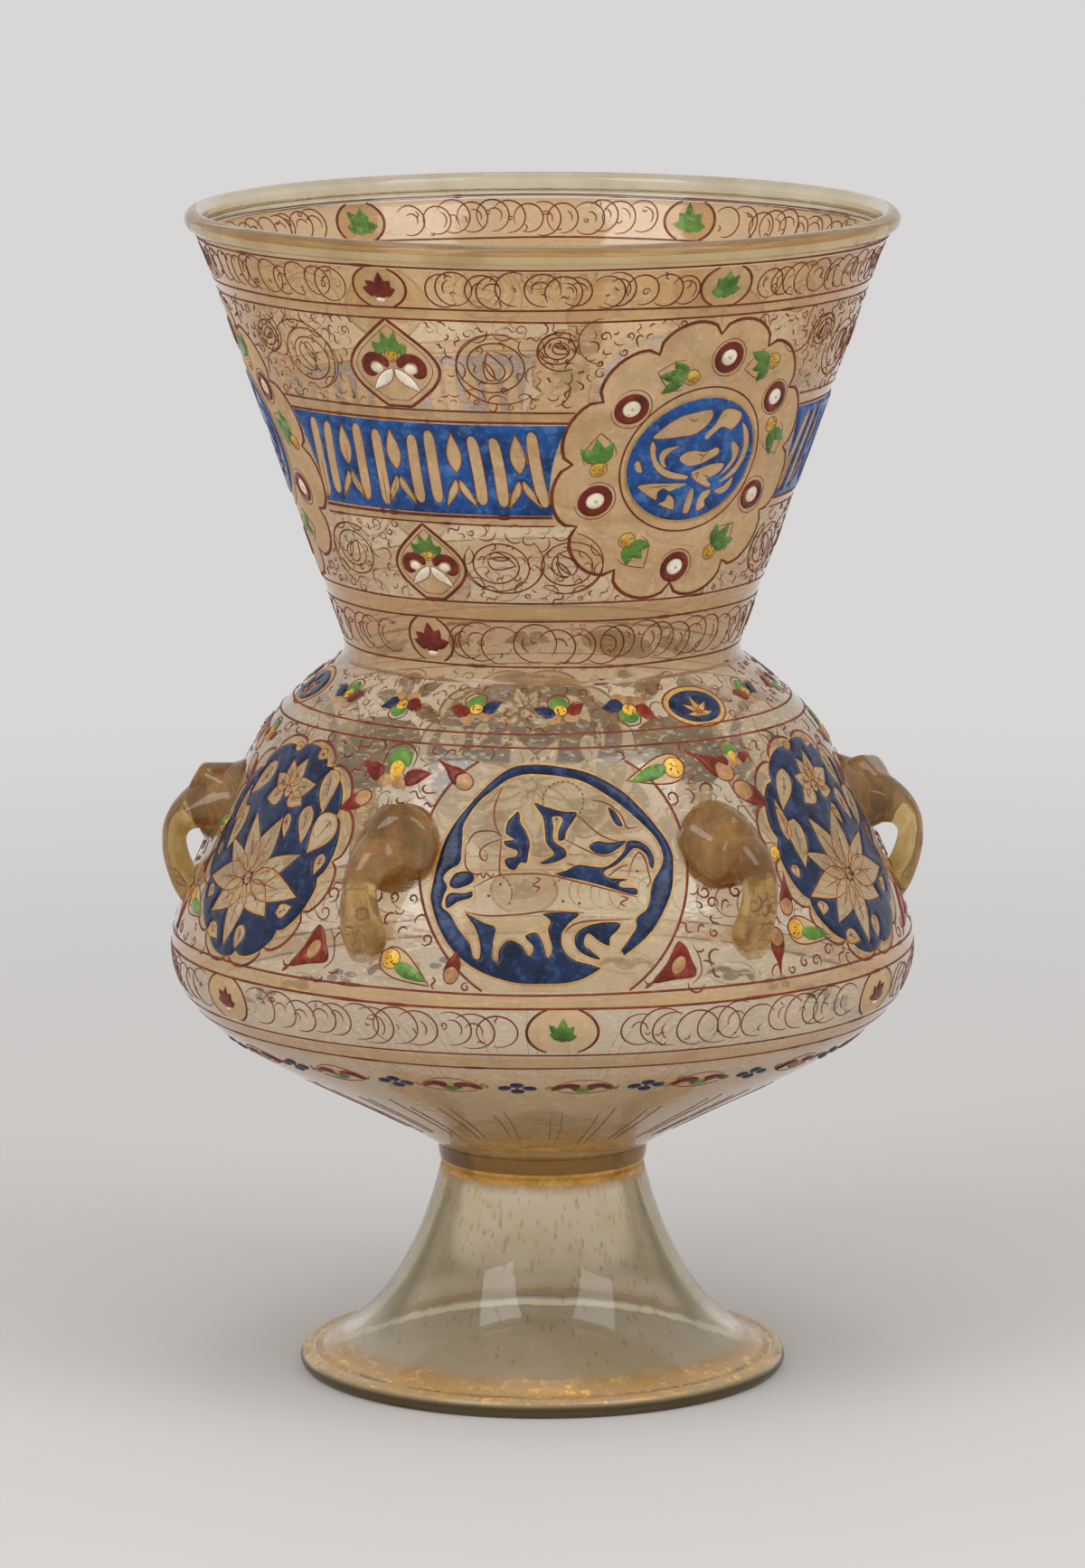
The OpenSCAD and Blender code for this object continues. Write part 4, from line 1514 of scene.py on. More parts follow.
# Places round a neck medallion, as angle and distance, and the leaves in its disc
RED_RINGS = ((82, 26.5), (144, 24.2), (202, 25.6), (271, 28.4), (332, 24.4), (33, 26.2))
GREEN_LEAVES = ((58, 27.7), (113, 24.4), (174, 25.2), (244, 26.2), (300, 26.0), (8, 25.2))
DISC_LEAVES = [
    [(-12.5, 6.1), (-10.7, 8.7), (-6.8, 11.3), (-2.1, 12.4), (2, 12.6), (2, 9.6), (-1.2, 6.8),
     (-4.9, 6.2)],
    [(5.9, 12.7), (11, 11.5), (11.2, 9), (9.1, 6.9), (6.2, 7.9), (4.2, 6.9), (2.3, 5), (1.4, 6.1),
     (3.8, 9.1)],
    [(-12.6, 5.6), (-11.4, 4), (-11, 1.5), (-9.1, -1.2), (-5.8, -3), (-1.5, -4.2), (-1.5, -5.2),
     (-6, -4.7), (-9.8, -2.6), (-12, 0.6), (-13, 3.7)],
    [(-10, 1.4), (-8.8, 3.3), (-4.8, 3.7), (-7.2, 2.4), (-8.4, 0.5), (-7.5, -1.6), (-8.8, -1.2)],
    [(12.2, 8.6), (14.8, 6.2), (16, 2.5), (15.4, -1.4), (13.4, -4.7), (10.3, -6.4), (8.5, -6.7),
     (10.6, -5), (12.9, -2.6), (14.2, 0.7), (13.7, 4.3)],
    [(10.1, 3.6), (12.6, 2.3), (13.1, 0.3), (12.2, -2), (10.6, -3.8), (7.8, -5.4), (10.2, -2.6),
     (11.3, -0.5)],
    [(-4.5, 0.4), (-2.8, 2), (-0.4, 2.3), (2.6, 1.8), (5.9, 2.7), (6.7, 0.9), (4, -0.6),
     (2.2, -1.2), (-1.6, -1.6)],
    [(-0.4, -3.5), (2.8, -2.2), (5.6, -1.6), (9, -1.9), (8.1, -4), (5.3, -5.2), (4.4, -5.6),
     (6.1, -7.1), (5.6, -7.9), (3.2, -7), (0.9, -5.6)],
    [(-14.1, -6.2), (-10.8, -5.6), (-4.9, -6), (-0.8, -6.4), (-3.6, -7.4), (-5.5, -8), (-7.1, -7.2),
     (-8.4, -8.2), (-8.5, -10.2), (-11.7, -8.4)],
    [(0.9, -7.6), (1.6, -9.6), (1.2, -14), (-0.5, -14), (-0.5, -11.4), (0, -8.9)],
    [(4.3, -8.9), (6.5, -8.6), (6.3, -10.1), (5.3, -11.2), (5.8, -12.8), (3.6, -14), (3, -12.3),
     (3.4, -10.3)],
    [(-5.4, -8.9), (-3.7, -10.2), (-3.2, -12.9), (-4.4, -12.8), (-7.6, -11.3), (-6.1, -10.5)],
    [(7.6, -8.8), (10.5, -7.8), (12.8, -5.6), (12.9, -7.7), (11.6, -9.4), (9.5, -10)],
    [(-16, -0.2), (-15, 0.6), (-13.5, -2.5), (-15.2, -2.1)],
]
DISC_VEINS = [
    [(-4, 11), (-2.6, 10.2), (-1.4, 10.8)],
    [(1.4, -0.6), (2.2, 0.6), (3.4, 1.6)],
    [(2.2, 0.6), (0.6, 1.4)],
    [(3, -4.4), (4.8, -5), (6, -6.4)],
    [(0.2, -4.4), (1.6, -3.6), (1.4, -5.2)],
    [(-11, -6.8), (-8.6, -6.6), (-5.4, -6.6)],
]


class LAMP_OT_neck_medallions(Operator):
    """Lays the large lobed medallions on the neck"""

    bl_idname = "lamp.neck_medallions"
    bl_label = "Neck medallions"

    disc_edge = ring(0, 0, 17.8, 16.0, 64)

    def execute(self, context):
        outline = scalloped(35.2, 12, 0.12, 15, 1.05)
        for number, az in enumerate(NECK_MEDALLIONS):
            rng = hand(80 + number)
            board = Board(az, MEDALLION_Z)
            board.film("gilt", [outline], [self.disc_edge])
            board.outline(outline, settings().bold_line)
            for angle, reach in RED_RINGS:
                self.red_ring(board, *polar(reach, angle), rng)
            for angle, reach in GREEN_LEAVES:
                self.green_leaf(board, polar(reach, angle), angle, rng)
            board.outline(ring(0, 0, 19.4, 18.8, 70), 0.6)
            self.disc(board, rng)
            board.make(f"neck_medallion_{number + 1}", {"blue": [f"neck_disc_{number + 1}"]})
        return {"FINISHED"}

    @staticmethod
    def red_ring(board, x, y, rng):
        """A red ring with a white heart."""
        wide, high = rng.uniform(3.8, 4.3), rng.uniform(3.7, 4.2)
        board.fill("red", [ring(x, y, wide, high, 26)], [ring(x, y, 2.2, 2.1, 20)], grid=0.9)
        board.fill("white", [ring(x, y, 2.15, 2.05, 20)], (), 0.25, 0.9)
        board.dot("gilt", x + 0.2, y - 0.1, 0.7, 0.32)
        board.stroke(arc(x, y, wide + 0.7, rng.uniform(0, 360), rng.uniform(420, 560), 20), 0.3)

    @staticmethod
    def green_leaf(board, at, angle, rng):
        """A green leaf of two or three points with a dotted end and a loose outline."""
        turn = angle + rng.choice((-120, -60, 60, 120)) + rng.uniform(-20, 20)
        base = at - polar(2.6, turn)
        spread = (-40, 0, 38) if rng.random() < 0.6 else (-28, 24)
        board.fill("green", [leaf(*base, turn + a, rng.uniform(5.6, 7.6), 3.4, 0.12) for a in spread])
        dotted_drop(board, *(base - polar(1.3, turn)), 1.9, rng)
        board.stroke(leaf(*(base - polar(2.2, turn)), turn, 10.4, 8.0, count=14)[3:22], 0.3)

    def disc(self, board, rng):
        """The blue disc with a bent flower and split leaves left clear in it."""
        cuts = [curve(points, 4, True) for points in DISC_LEAVES]
        board.film("gilt", cuts)
        board.fill("blue", [self.disc_edge], cuts, settings().enamel_height, 1.1)
        board.outline(ring(0, 0, 18.2, 16.4, 70), 0.7, "gold", 0.1)
        for cut in cuts:
            start = rng.randrange(len(cut))
            board.stroke(np.roll(cut, start, axis=0)[: int(len(cut) * 0.7)], 0.32)
        for points in DISC_VEINS:
            board.stroke(curve(points, 4), 0.3)


# Vines of the neck as azimuth, height and radius
NECK_VINES = [
    (az + shift, z, r)
    for z, r, shifts in (
        (255.3, 8.4, (-21.0, 18.5)), (206.6, 7.6, (-24.0, 17.0, 33.0)), (259.5, 4.6, (-32.0, 30.0))
    )
    for az in PANELS
    for shift in shifts
]


def neck_shapes():
    """What keeps the loose strokes of the neck away."""
    shapes = [(az, MEDALLION_Z, 36.0, 36.0) for az in NECK_MEDALLIONS]
    shapes += [(az, TOP_OVAL_Z, 7.6, 6.0) for az, _ in TOP_OVALS]
    for az in PANELS:
        shapes.append((az - 1, UPPER_ALMOND_Z, 12.4, 12.5))
        shapes.append((az - 1, LOWER_ALMOND_Z, 10.0, 10.5))
        shapes.append((az - 5, 187.0, 6.6, 6.6))
    return shapes


class LAMP_OT_neck_fields(Operator):
    """Draws the scroll bands and fields of the neck"""

    bl_idname = "lamp.neck_fields"
    bl_label = "Neck bands and fields"

    def execute(self, context):
        rng = hand(100)
        thin = settings().thin_line
        board = Board()
        for az, colour in TOP_OVALS:
            oval_medallion(board.at(az, TOP_OVAL_Z), 6.9, 4.9, colour, rng, 1.9)
        skip = blocked(neck_shapes())
        scroll_row(board, rng, TOP_BAND, 3.4, skip, thin)
        scroll_row(board, rng, NECK_BAND, 6.2, skip, thin)
        for az in PANELS:
            self.almonds(board, az, rng)
        for az, z, r in NECK_VINES:
            vine(board.at(az, z), r, rng, thin)
        skip = blocked(neck_shapes() + [(az, z, r + 0.6, r + 0.6) for az, z, r in NECK_VINES])
        for zone in (UPPER_FIELD, LOWER_FIELD):
            for place in scatter(rng, zone, 9.0, skip, 900):
                start = rng.uniform(0, 360)
                line = arc(0, 0, rng.uniform(4, 7), start, start + rng.uniform(80, 190), 16)
                board.at(*place).stroke(line, thin * 0.8)
            pen_strokes(board, rng, scatter(rng, zone, 2.5, skip, 9000), (1.4, 3.6), (0.6, 1.15))
        board.make("neck_field")
        return {"FINISHED"}

    @staticmethod
    def almonds(board, az, rng):
        """The pointed medallions above and below a panel and the round one in the band."""
        for z, w, h in ((UPPER_ALMOND_Z, 23.5, 22.6), (LOWER_ALMOND_Z, 18.5, 19.8)):
            board.at(az - 1, z)
            board.film("gilt", [almond(w, h)], (), 2.2)
            board.outline(almond(w, h), 0.85)
            board.outline(almond(w * 0.86, h * 0.86), 0.22)
            fleur(board, h * 0.82, rng)
        oval_medallion(board.at(az - 5, NECK_OVAL_Z), 6.0, 5.6, "red", rng, 1.9)


class LAMP_OT_shoulder(Operator):
    """Lays the row of small flowers and blue ovals on the shoulder"""

    bl_idname = "lamp.shoulder"
    bl_label = "Shoulder band"

    flower_count = 18

    def execute(self, context):
        rng = hand(120)
        board = Board()
        ovals = [(az, 170.6, 9.5, 7.0) for az in SHOULDER_OVALS]
        skip = blocked(ovals)
        flowers = [360 * k / self.flower_count + rng.uniform(-2, 2) for k in range(self.flower_count)]
        flowers = [az for az in flowers if not skip(az, FLOWER_Z, 4.0)]
        for k, az in enumerate(flowers):
            turn = 180 * (k % 2) + rng.uniform(-20, 20)
            board.at(az, FLOWER_Z, turn=turn, size=rng.uniform(1.15, 1.35))
            self.flower(board, ("red", "navy") if k % 3 else ("navy", "red"), rng)
        skip = blocked(ovals + [(az, FLOWER_Z, 6.6, 5.0) for az in flowers])
        pen_strokes(board, rng, scatter(rng, SHOULDER_BAND, 2.9, skip, 4000), (1.6, 3.0), (0.75, 1.1))
        board.make("shoulder")
        for number, az in enumerate(SHOULDER_OVALS):
            self.oval(f"shoulder_roundel_{number + 1}", az)
        return {"FINISHED"}

    @staticmethod
    def flower(board, colours, rng):
        """A dotted drop with a green cap between a red and a blue leaf, spread from one stalk."""
        left, right = colours
        board.fill(left, [petal((-1.0, -0.8), (-5.4, 0.6), 3.2, -0.2, 0.7)])
        board.fill(right, [petal((1.0, -0.8), (5.2, 0.2), 3.2, 0.2, 0.7)])
        for x in (-1.8, 1.8):
            board.fill("tan", [ring(x, -2.0, 1.5, 1.2, 16)], (), 0.2)
        cap = [(-1.8, 0.6), (-1.5, 2.6), (0.1, 3.5), (1.6, 2.6), (1.8, 0.6), (0.1, 1.4)]
        board.fill("green", [curve(cap, 5, True)])
        dotted_drop(board, 0, 0.2, 1.3, rng)
        line = [(-5.8, 0.6), (-3.6, 2.0), (-2.2, 1.4), (-1.9, 3.2), (0.1, 4.2), (2.0, 3.2), (2.2, 1.4)]
        board.stroke(curve(line + [(3.6, 1.8), (5.8, 0.4)], 4), 0.3)

    @staticmethod
    def oval(name, az):
        """A small blue oval with a sprig left clear in it."""
        board = Board(az, SHOULDER_OVAL_Z)
        cuts = []
        for k, a in enumerate((-75, -38, 0, 38, 75)):
            shape = leaf(0, -2.6, 90 + a, 6.0 - abs(a) * 0.012, 1.7, 0.2 * np.sign(a))
            cuts.append(moved(shape, k * 0.7 - 1.4))
        edge = ring(0, 0, 9.0, 6.4, 44)
        board.film("gold", [edge], (), 2)
        board.outline(edge, 0.5)
        board.fill("navy", [ring(0, 0, 7.6, 5.1)], cuts, settings().enamel_height, 0.9)
        for cut in cuts:
            board.outline(cut, 0.2)
        board.make(name, {"navy": [name]})


# The chase in the round medallions of the bulb, in millimetres from the middle, with its manes as
# middle, radius and two angles
CHASE_RING_OUT = [
    (17, -20.6), (24, -14.9), (29, -6.4), (30, 1), (29.6, 5), (27, 10), (20.3, 18.2), (14.7, 22.9),
    (8.2, 26.4), (2.2, 27.9), (-3.2, 28.6), (-8.7, 28.1), (-12.7, 25.9), (-16.7, 22.1),
    (-20.7, 17.6), (-24.2, 13.1), (-26.7, 8.9), (-28.5, 4), (-29.8, -0.9), (-30.8, -5.9),
    (-30.5, -8.4), (-29.2, -12.9), (-27, -17.1), (-24.2, -20.4), (-20.2, -23.4), (-15.7, -25.4),
    (-9.7, -26.9), (-3.7, -27.1), (2.2, -26.9), (6.7, -25.9), (11.2, -23.4),
]
CHASE_RING_IN = [
    (16, -19.2), (19.8, -14), (20, -11.4), (23, -8.8), (24.2, -3), (26.6, 1), (27.2, 4.4),
    (25.4, 8.6), (21.8, 12.6), (17.4, 16.8), (13.4, 20), (7.4, 23.8), (2.2, 25.2), (-2.7, 25.8),
    (-6.7, 25.8), (-10.7, 24.5), (-14.7, 21.5), (-18.2, 18.5), (-20.7, 15), (-22.2, 12.1),
    (-22.4, 9.6), (-22.7, 6.1), (-23.2, 2.6), (-26, 0.6), (-27.4, -1.4), (-26.4, -3.6), (-27.4, -6),
    (-27.8, -8.6), (-25.8, -10.3), (-24, -13.4), (-22.4, -15.6), (-20.9, -17.6), (-20, -20.8),
    (-18.7, -21), (-18.4, -18), (-19.6, -13.6), (-22.2, -9.8), (-19.9, -10.9), (-17.4, -12.2),
    (-14.6, -13.2), (-15, -16.2), (-15.4, -20.4), (-14.2, -21.6), (-13.6, -18.4), (-11.2, -16.4),
    (-8.2, -17.6), (-6.4, -20.2), (-5.4, -18), (-7.4, -15.4), (-4.6, -14.4), (-3, -17), (-2, -20.6),
    (-0.8, -18.4), (-1.8, -14), (-1.2, -11.4), (-3, -9.6), (3.2, -9.3), (6, -9.9), (3.4, -12.2),
    (1.6, -15), (2, -18.6), (4.6, -21.2), (8.6, -22.4),
]
CHASE_GROUNDS = [
    [(-8.6, 16.3), (-8.1, 15), (-8, 13.3), (-6.7, 11.1), (-5.8, 8.1), (-6.1, 6.1), (-6.7, 3.1),
     (-8.2, 3.1), (-9.5, 1.3), (-11.2, 1.6), (-12.1, 3.3), (-11.5, 4.3), (-9.5, 4.7), (-9, 6.1),
     (-11.6, 7.2), (-12.2, 8.6), (-9.7, 9), (-11.7, 10.5), (-11.2, 13.5), (-10, 15)],
    [(-4.7, 18.5), (-1.7, 17.5), (2.2, 16.3), (5.6, 16), (5.3, 14.5), (3.2, 11.1), (2.7, 9.1),
     (1.2, 8.8), (1.1, 11), (2.2, 14.4), (-0.2, 14.8), (0, 12.5), (0, 8.8), (2.7, 6.6), (3, 4.8),
     (1.2, 3.6), (-1.7, 2.8), (-3.5, 3.1), (-0.2, 5.1), (-0.7, 6.6), (-1.9, 8.4), (-2.2, 12.1),
     (-2.7, 15)],
    [(13.4, 17.1), (15.2, 16), (16.4, 14), (17.2, 12.1), (15.7, 12.2), (14.4, 14)],
    [(8.6, 7.3), (10.7, 8.5), (13.7, 8), (17.9, 8.3), (16.2, 6.6), (13.7, 5.1), (11.2, 5),
     (9.5, 5.8)],
    [(18.2, 8.1), (21.2, 8), (23.7, 6.1), (25, 3.1), (24.6, 0.8), (23.7, 1.6), (23.1, 4.1),
     (21.4, 5.8), (19.6, 6.1), (17.6, 4.1), (15.2, 2.1), (12.2, 0.6), (13.4, -0.9), (17.2, -1.3),
     (19.4, -1.6), (16.2, -2.2), (16.4, -3.4), (20.2, -3.9), (20.2, -5.6), (17.2, -4.9),
     (12.2, -3.1), (7.2, -1.6), (0.2, 0.1), (3.2, 1.3), (5.7, 2.6), (9.2, 2.1), (12.2, 1.8),
     (14.7, 3.1), (17.2, 5.6)],
    [(-26, -2.8), (-24.6, -0.2), (-22.4, 0.6), (-20.2, 0.4), (-19.6, -1), (-20.6, -2.6),
     (-24.4, -4)],
    [(-26.6, -9), (-27, -6.6), (-25.6, -5), (-22.2, -4.9), (-20.3, -4.4), (-20.4, -6),
     (-23.7, -7.2)],
    [(15.7, -12.3), (11.2, -12.1), (7.2, -13.1), (5, -14.9), (4.7, -17.3), (6, -19.3), (8.7, -20.8),
     (11.2, -21.3), (8.7, -19), (7.2, -17.8), (7.1, -16.1), (8.2, -14.8), (10.7, -16.8),
     (13.2, -18), (13.5, -16), (15.7, -13.8)],
]
CHASE_LINES = [
    [(-12.4, 22.5), (-14.4, 17), (-14.2, 12.5), (-12.7, 9.5)],
    [(-21.6, 7.1), (-19.2, 10.5), (-14.7, 11), (-12.7, 9.6)],
    [(-21.7, 7.1), (-21.8, 2), (-19.7, 0), (-17.4, 0.4)],
    [(-12.7, 9), (-15.7, 8), (-18, 6.1), (-18, 4.1), (-16.7, 3.6), (-16.4, 5.3)],
    [(-19.2, -0.9), (-18.2, 0.1), (-17.4, -0.9), (-16.7, 0.3), (-15.7, -0.6), (-14.7, 0.3)],
    [(-20, -3.4), (-14.2, -0.4), (-7.7, 0.3), (-1.7, 0.1), (6.2, -1.9), (13.2, -3.9), (18.2, -5.4),
     (20.4, -6.1)],
    [(-22.4, -9.6), (-16.7, -10.4), (-8.7, -9.9), (-1.7, -9.1), (7.2, -9.6)],
    [(2.2, -14.4), (4.7, -12.4), (9.2, -11.6), (18.7, -11.6)],
    [(18.2, -0.6), (19.7, 3.6), (21.2, 5.1), (22.7, 3.1), (23.4, 0.1), (23.9, -2.4), (22.9, -3.6)],
    [(13.2, -0.6), (16.2, 1.6), (18.2, 2.1)],
    [(2.7, 9.1), (8.2, 6.1), (12.2, 4.6), (16.2, 5.6)],
    [(5.7, 15.5), (10.2, 11), (13.2, 9.1), (16.2, 8.1)],
    [(9.7, 19), (13.2, 18), (16.7, 15), (18.2, 11.6), (20.7, 11.6)],
    [(-4.7, -0.6), (-3.5, -1.1), (-5.2, -2.6), (-3.7, -3.1), (-4.5, -4.1)],
    [(16.2, -5.6), (18, -6.4), (16.2, -7.4), (17.5, -8.4)],
    [(-12.7, 9), (-13.2, 5), (-13.4, 1), (-13.2, -0.2)],
    [(2.6, 0.4), (5.4, 2), (3, 3)],
]
CHASE_MANES = [(2.5, 18.9, 4.6, -50, 210), (-15.2, -4.6, 4.4, -30, 70), (4.4, -5.6, 5.0, 30, 150)]
CHASE_DOTS = [(20.6, 0.4), (0.8, 14.4), (-13.2, -2.4), (6.0, -7.2), (2.0, -6.6), (-16.2, -5.4)]


class LAMP_OT_bulb_roundels(Operator):
    """Lays the round blue medallions with a chase on the bulb"""

    bl_idname = "lamp.bulb_roundels"
    bl_label = "Bulb roundels"

    chase_size = 0.96
    frame_size = (32.4, 27.9)
    frame_tall = 1.02

    def execute(self, context):
        for number, az in enumerate(ROUNDELS):
            name = f"bulb_roundel_{number + 1}"
            board = Board(az, BULB_Z, flip=number == 1)
            self.edging(board, self.chase(board, hand(140 + number)))
            board.make(name, {"navy": [name]})
        return {"FINISHED"}

    def edging(self, board, grounds):
        """The pale film of the medallion between its blue grounds, and its thin outer line."""
        r, h = self.frame_size
        board.film("pale", [flat_oval(r, h, r * self.frame_tall, 72)], grounds)
        end = math.degrees(math.asin(h / r / self.frame_tall))
        for side in (-1, 1):
            board.stroke(arc(0, 0, r, -end, end, 40, self.frame_tall) * (side, 1), 0.72, taper=0.8)

    def chase(self, board, rng):
        """Two running animals left clear between grounds of blue."""
        size = self.chase_size
        border = np.concatenate([curve(CHASE_RING_OUT, 4), curve(CHASE_RING_IN, 4)[::-1]])
        grounds = [border * size] + [curve(points, 4, True) * size for points in CHASE_GROUNDS]
        board.fill("navy", grounds, (), settings().enamel_height, 1.1)
        for ground in grounds:
            board.outline(ground, 1.1, "gold", 0.08)
        for points in CHASE_LINES:
            board.stroke(curve(points) * size, 0.46)
        for x, y, r, start, end in CHASE_MANES:
            for a in range(start, end, 14):
                dx, dy = polar(r, a)
                tick = moved(arc(0, 0, 0.5, -60, 60, 4), x + dx, y + dy, a + rng.uniform(-15, 15))
                board.stroke(tick * size, 0.36)
        for x, y in CHASE_DOTS:
            board.dot("black", x * size, y * size, 0.34, 0.2)
        return grounds


# Lilies of the lobed medallions as a middle and petals of tip, width and bend, and the leaves round
# them as base, tip, width and bend
LILIES = [
    ((-1.4, -8), [
        ((-20.4, -9), 5.6, 0.1), ((-16.8, -2.2), 4.2, -0.15), ((-8, 8.2), 5, 0.05),
        ((2.6, 8.6), 6, -0.05), ((15.8, -2), 4.6, 0.15), ((19, -8.4), 6.2, -0.08),
        ((9.8, -17), 6, 0.1), ((-2.8, -25.4), 5, 0), ((-12.4, -19.4), 5.4, -0.1),
    ]),
    ((0.6, 14.6), [
        ((-7.4, 12.2), 4.2, 0.1), ((-6.6, 18.4), 3.4, 0), ((-2.4, 22.6), 3.4, 0),
        ((3, 23.8), 3.4, 0), ((9.6, 18.6), 4, -0.1), ((7.8, 11.6), 3.6, 0.1),
    ]),
]
LILY_LEAVES = [
    ((-9.8, 21), (-14.6, 10), 4.2, -0.2), ((-14.4, 8.4), (-20, -2.6), 4.6, 0.2),
    ((20.8, 11.4), (15, 1.8), 6.4, 0.15), ((12.8, 22), (19, 13), 4.6, -0.3),
    ((11.4, 12.6), (10.4, 3), 3.8, 0.3), ((-11.8, -21), (-7.2, -25), 3.2, 0.2),
    ((3.4, -19), (2.4, -25.2), 3.2, 0), ((-22, -2.4), (-21.4, -6), 2.2, 0),
    ((14, -14.6), (18.4, -12.2), 2.8, 0), ((-19.6, 3.6), (-16, 13.6), 2.6, 0.2),
    ((21.8, 1.6), (21.4, -4), 2.4, 0), ((6, 26), (9.6, 24.6), 2.4, 0),
    ((-4.6, 25.6), (-1, 26.6), 2, 0), ((-16.6, -12.4), (-18.2, -15.8), 3, 0),
    ((4.6, 9.6), (6.6, 3.4), 2.2, 0),
]


class LAMP_OT_bulb_medallions(Operator):
    """Lays the lobed blue medallions with water lilies on the bulb"""

    bl_idname = "lamp.bulb_medallions"
    bl_label = "Bulb medallions"

    def execute(self, context):
        outline = scalloped(28.6, 12, 0.11, 15, 1.03)
        ground = scalloped(25.2, 10, 0.07, 8, 1.10)
        cuts = self.lilies()
        for number, az in enumerate(LOBED):
            rng = hand(160 + number)
            name = f"bulb_medallion_{number + 1}"
            board = Board(az, BULB_Z)
            board.outline(outline, settings().bold_line * 0.8)
            board.film("pale", [outline], [ground])
            board.film("pale", cuts)
            board.outline(ground, 1.5, "gold", 0.08)
            board.fill("navy", [ground], cuts, settings().enamel_height, 1.2)
            for cut in cuts:
                board.outline(cut, 0.32)
                board.outline(sideways_closed(cut, -0.25), 0.6, "gold", 0.09)
                middle = (cut[2:8] + cut[-2:-8:-1]) / 2
                board.stroke(middle, 0.26)
                for _ in range(3):
                    x, y = middle[rng.randrange(1, 4)] + (rng.uniform(-0.6, 0.6), rng.uniform(-0.6, 0.6))
                    board.stroke(moved(arc(0, 0, 0.6, 0, 110, 4), x, y, rng.uniform(0, 360)), 0.24)
            board.make(name, {"navy": [name]})
        return {"FINISHED"}

    @staticmethod
    def lilies():
        """Two water lilies one above the other and the leaves beside them, as holes in the blue."""
        cuts = []
        for centre, petals in LILIES:
            for tip, width, bend in petals:
                way = np.array(tip) - centre
                base = centre + way / np.linalg.norm(way) * 1.5
                cuts.append(petal(base, tip, width * 1.32, bend, 0.66, 12))
            cuts.append(ring(*centre, 1.3, 1.5, 22))
        for base, tip, width, bend in LILY_LEAVES:
            cuts.append(petal(base, tip, width * 1.3, bend, 0.66, 12))
        return cuts


# Two sets of loose sprigs beside the loops by turns: degrees from it, height, kind, turn and size
BULB_SPRIGS = (
    [(-9.5, 158.2, "green", 187, 1.15), (3.5, 158.2, "drop", 138, 1.1), (11.2, 150.6, "drop", -41, 1.1),
     (9.0, 160.0, "cone", 0, 0.75), (9.8, 138.0, "green", 175, 0.75), (10.2, 127.7, "drop", 68, 0.85),
     (6.6, 117.0, "drop", -92, 0.9), (13.2, 119.0, "green", -25, 1.05), (-12.4, 116.2, "heart", 0, 1.0)],
    [(-3.0, 158.6, "cone", 0, 1.25), (10.0, 157.6, "drop", 150, 0.9), (-11.6, 117.4, "heart", 0, 1.05),
     (5.0, 114.6, "green", -25, 1.05), (-10.4, 150.0, "drop", 215, 0.9), (13.0, 116.0, "drop", 80, 0.8)],
)


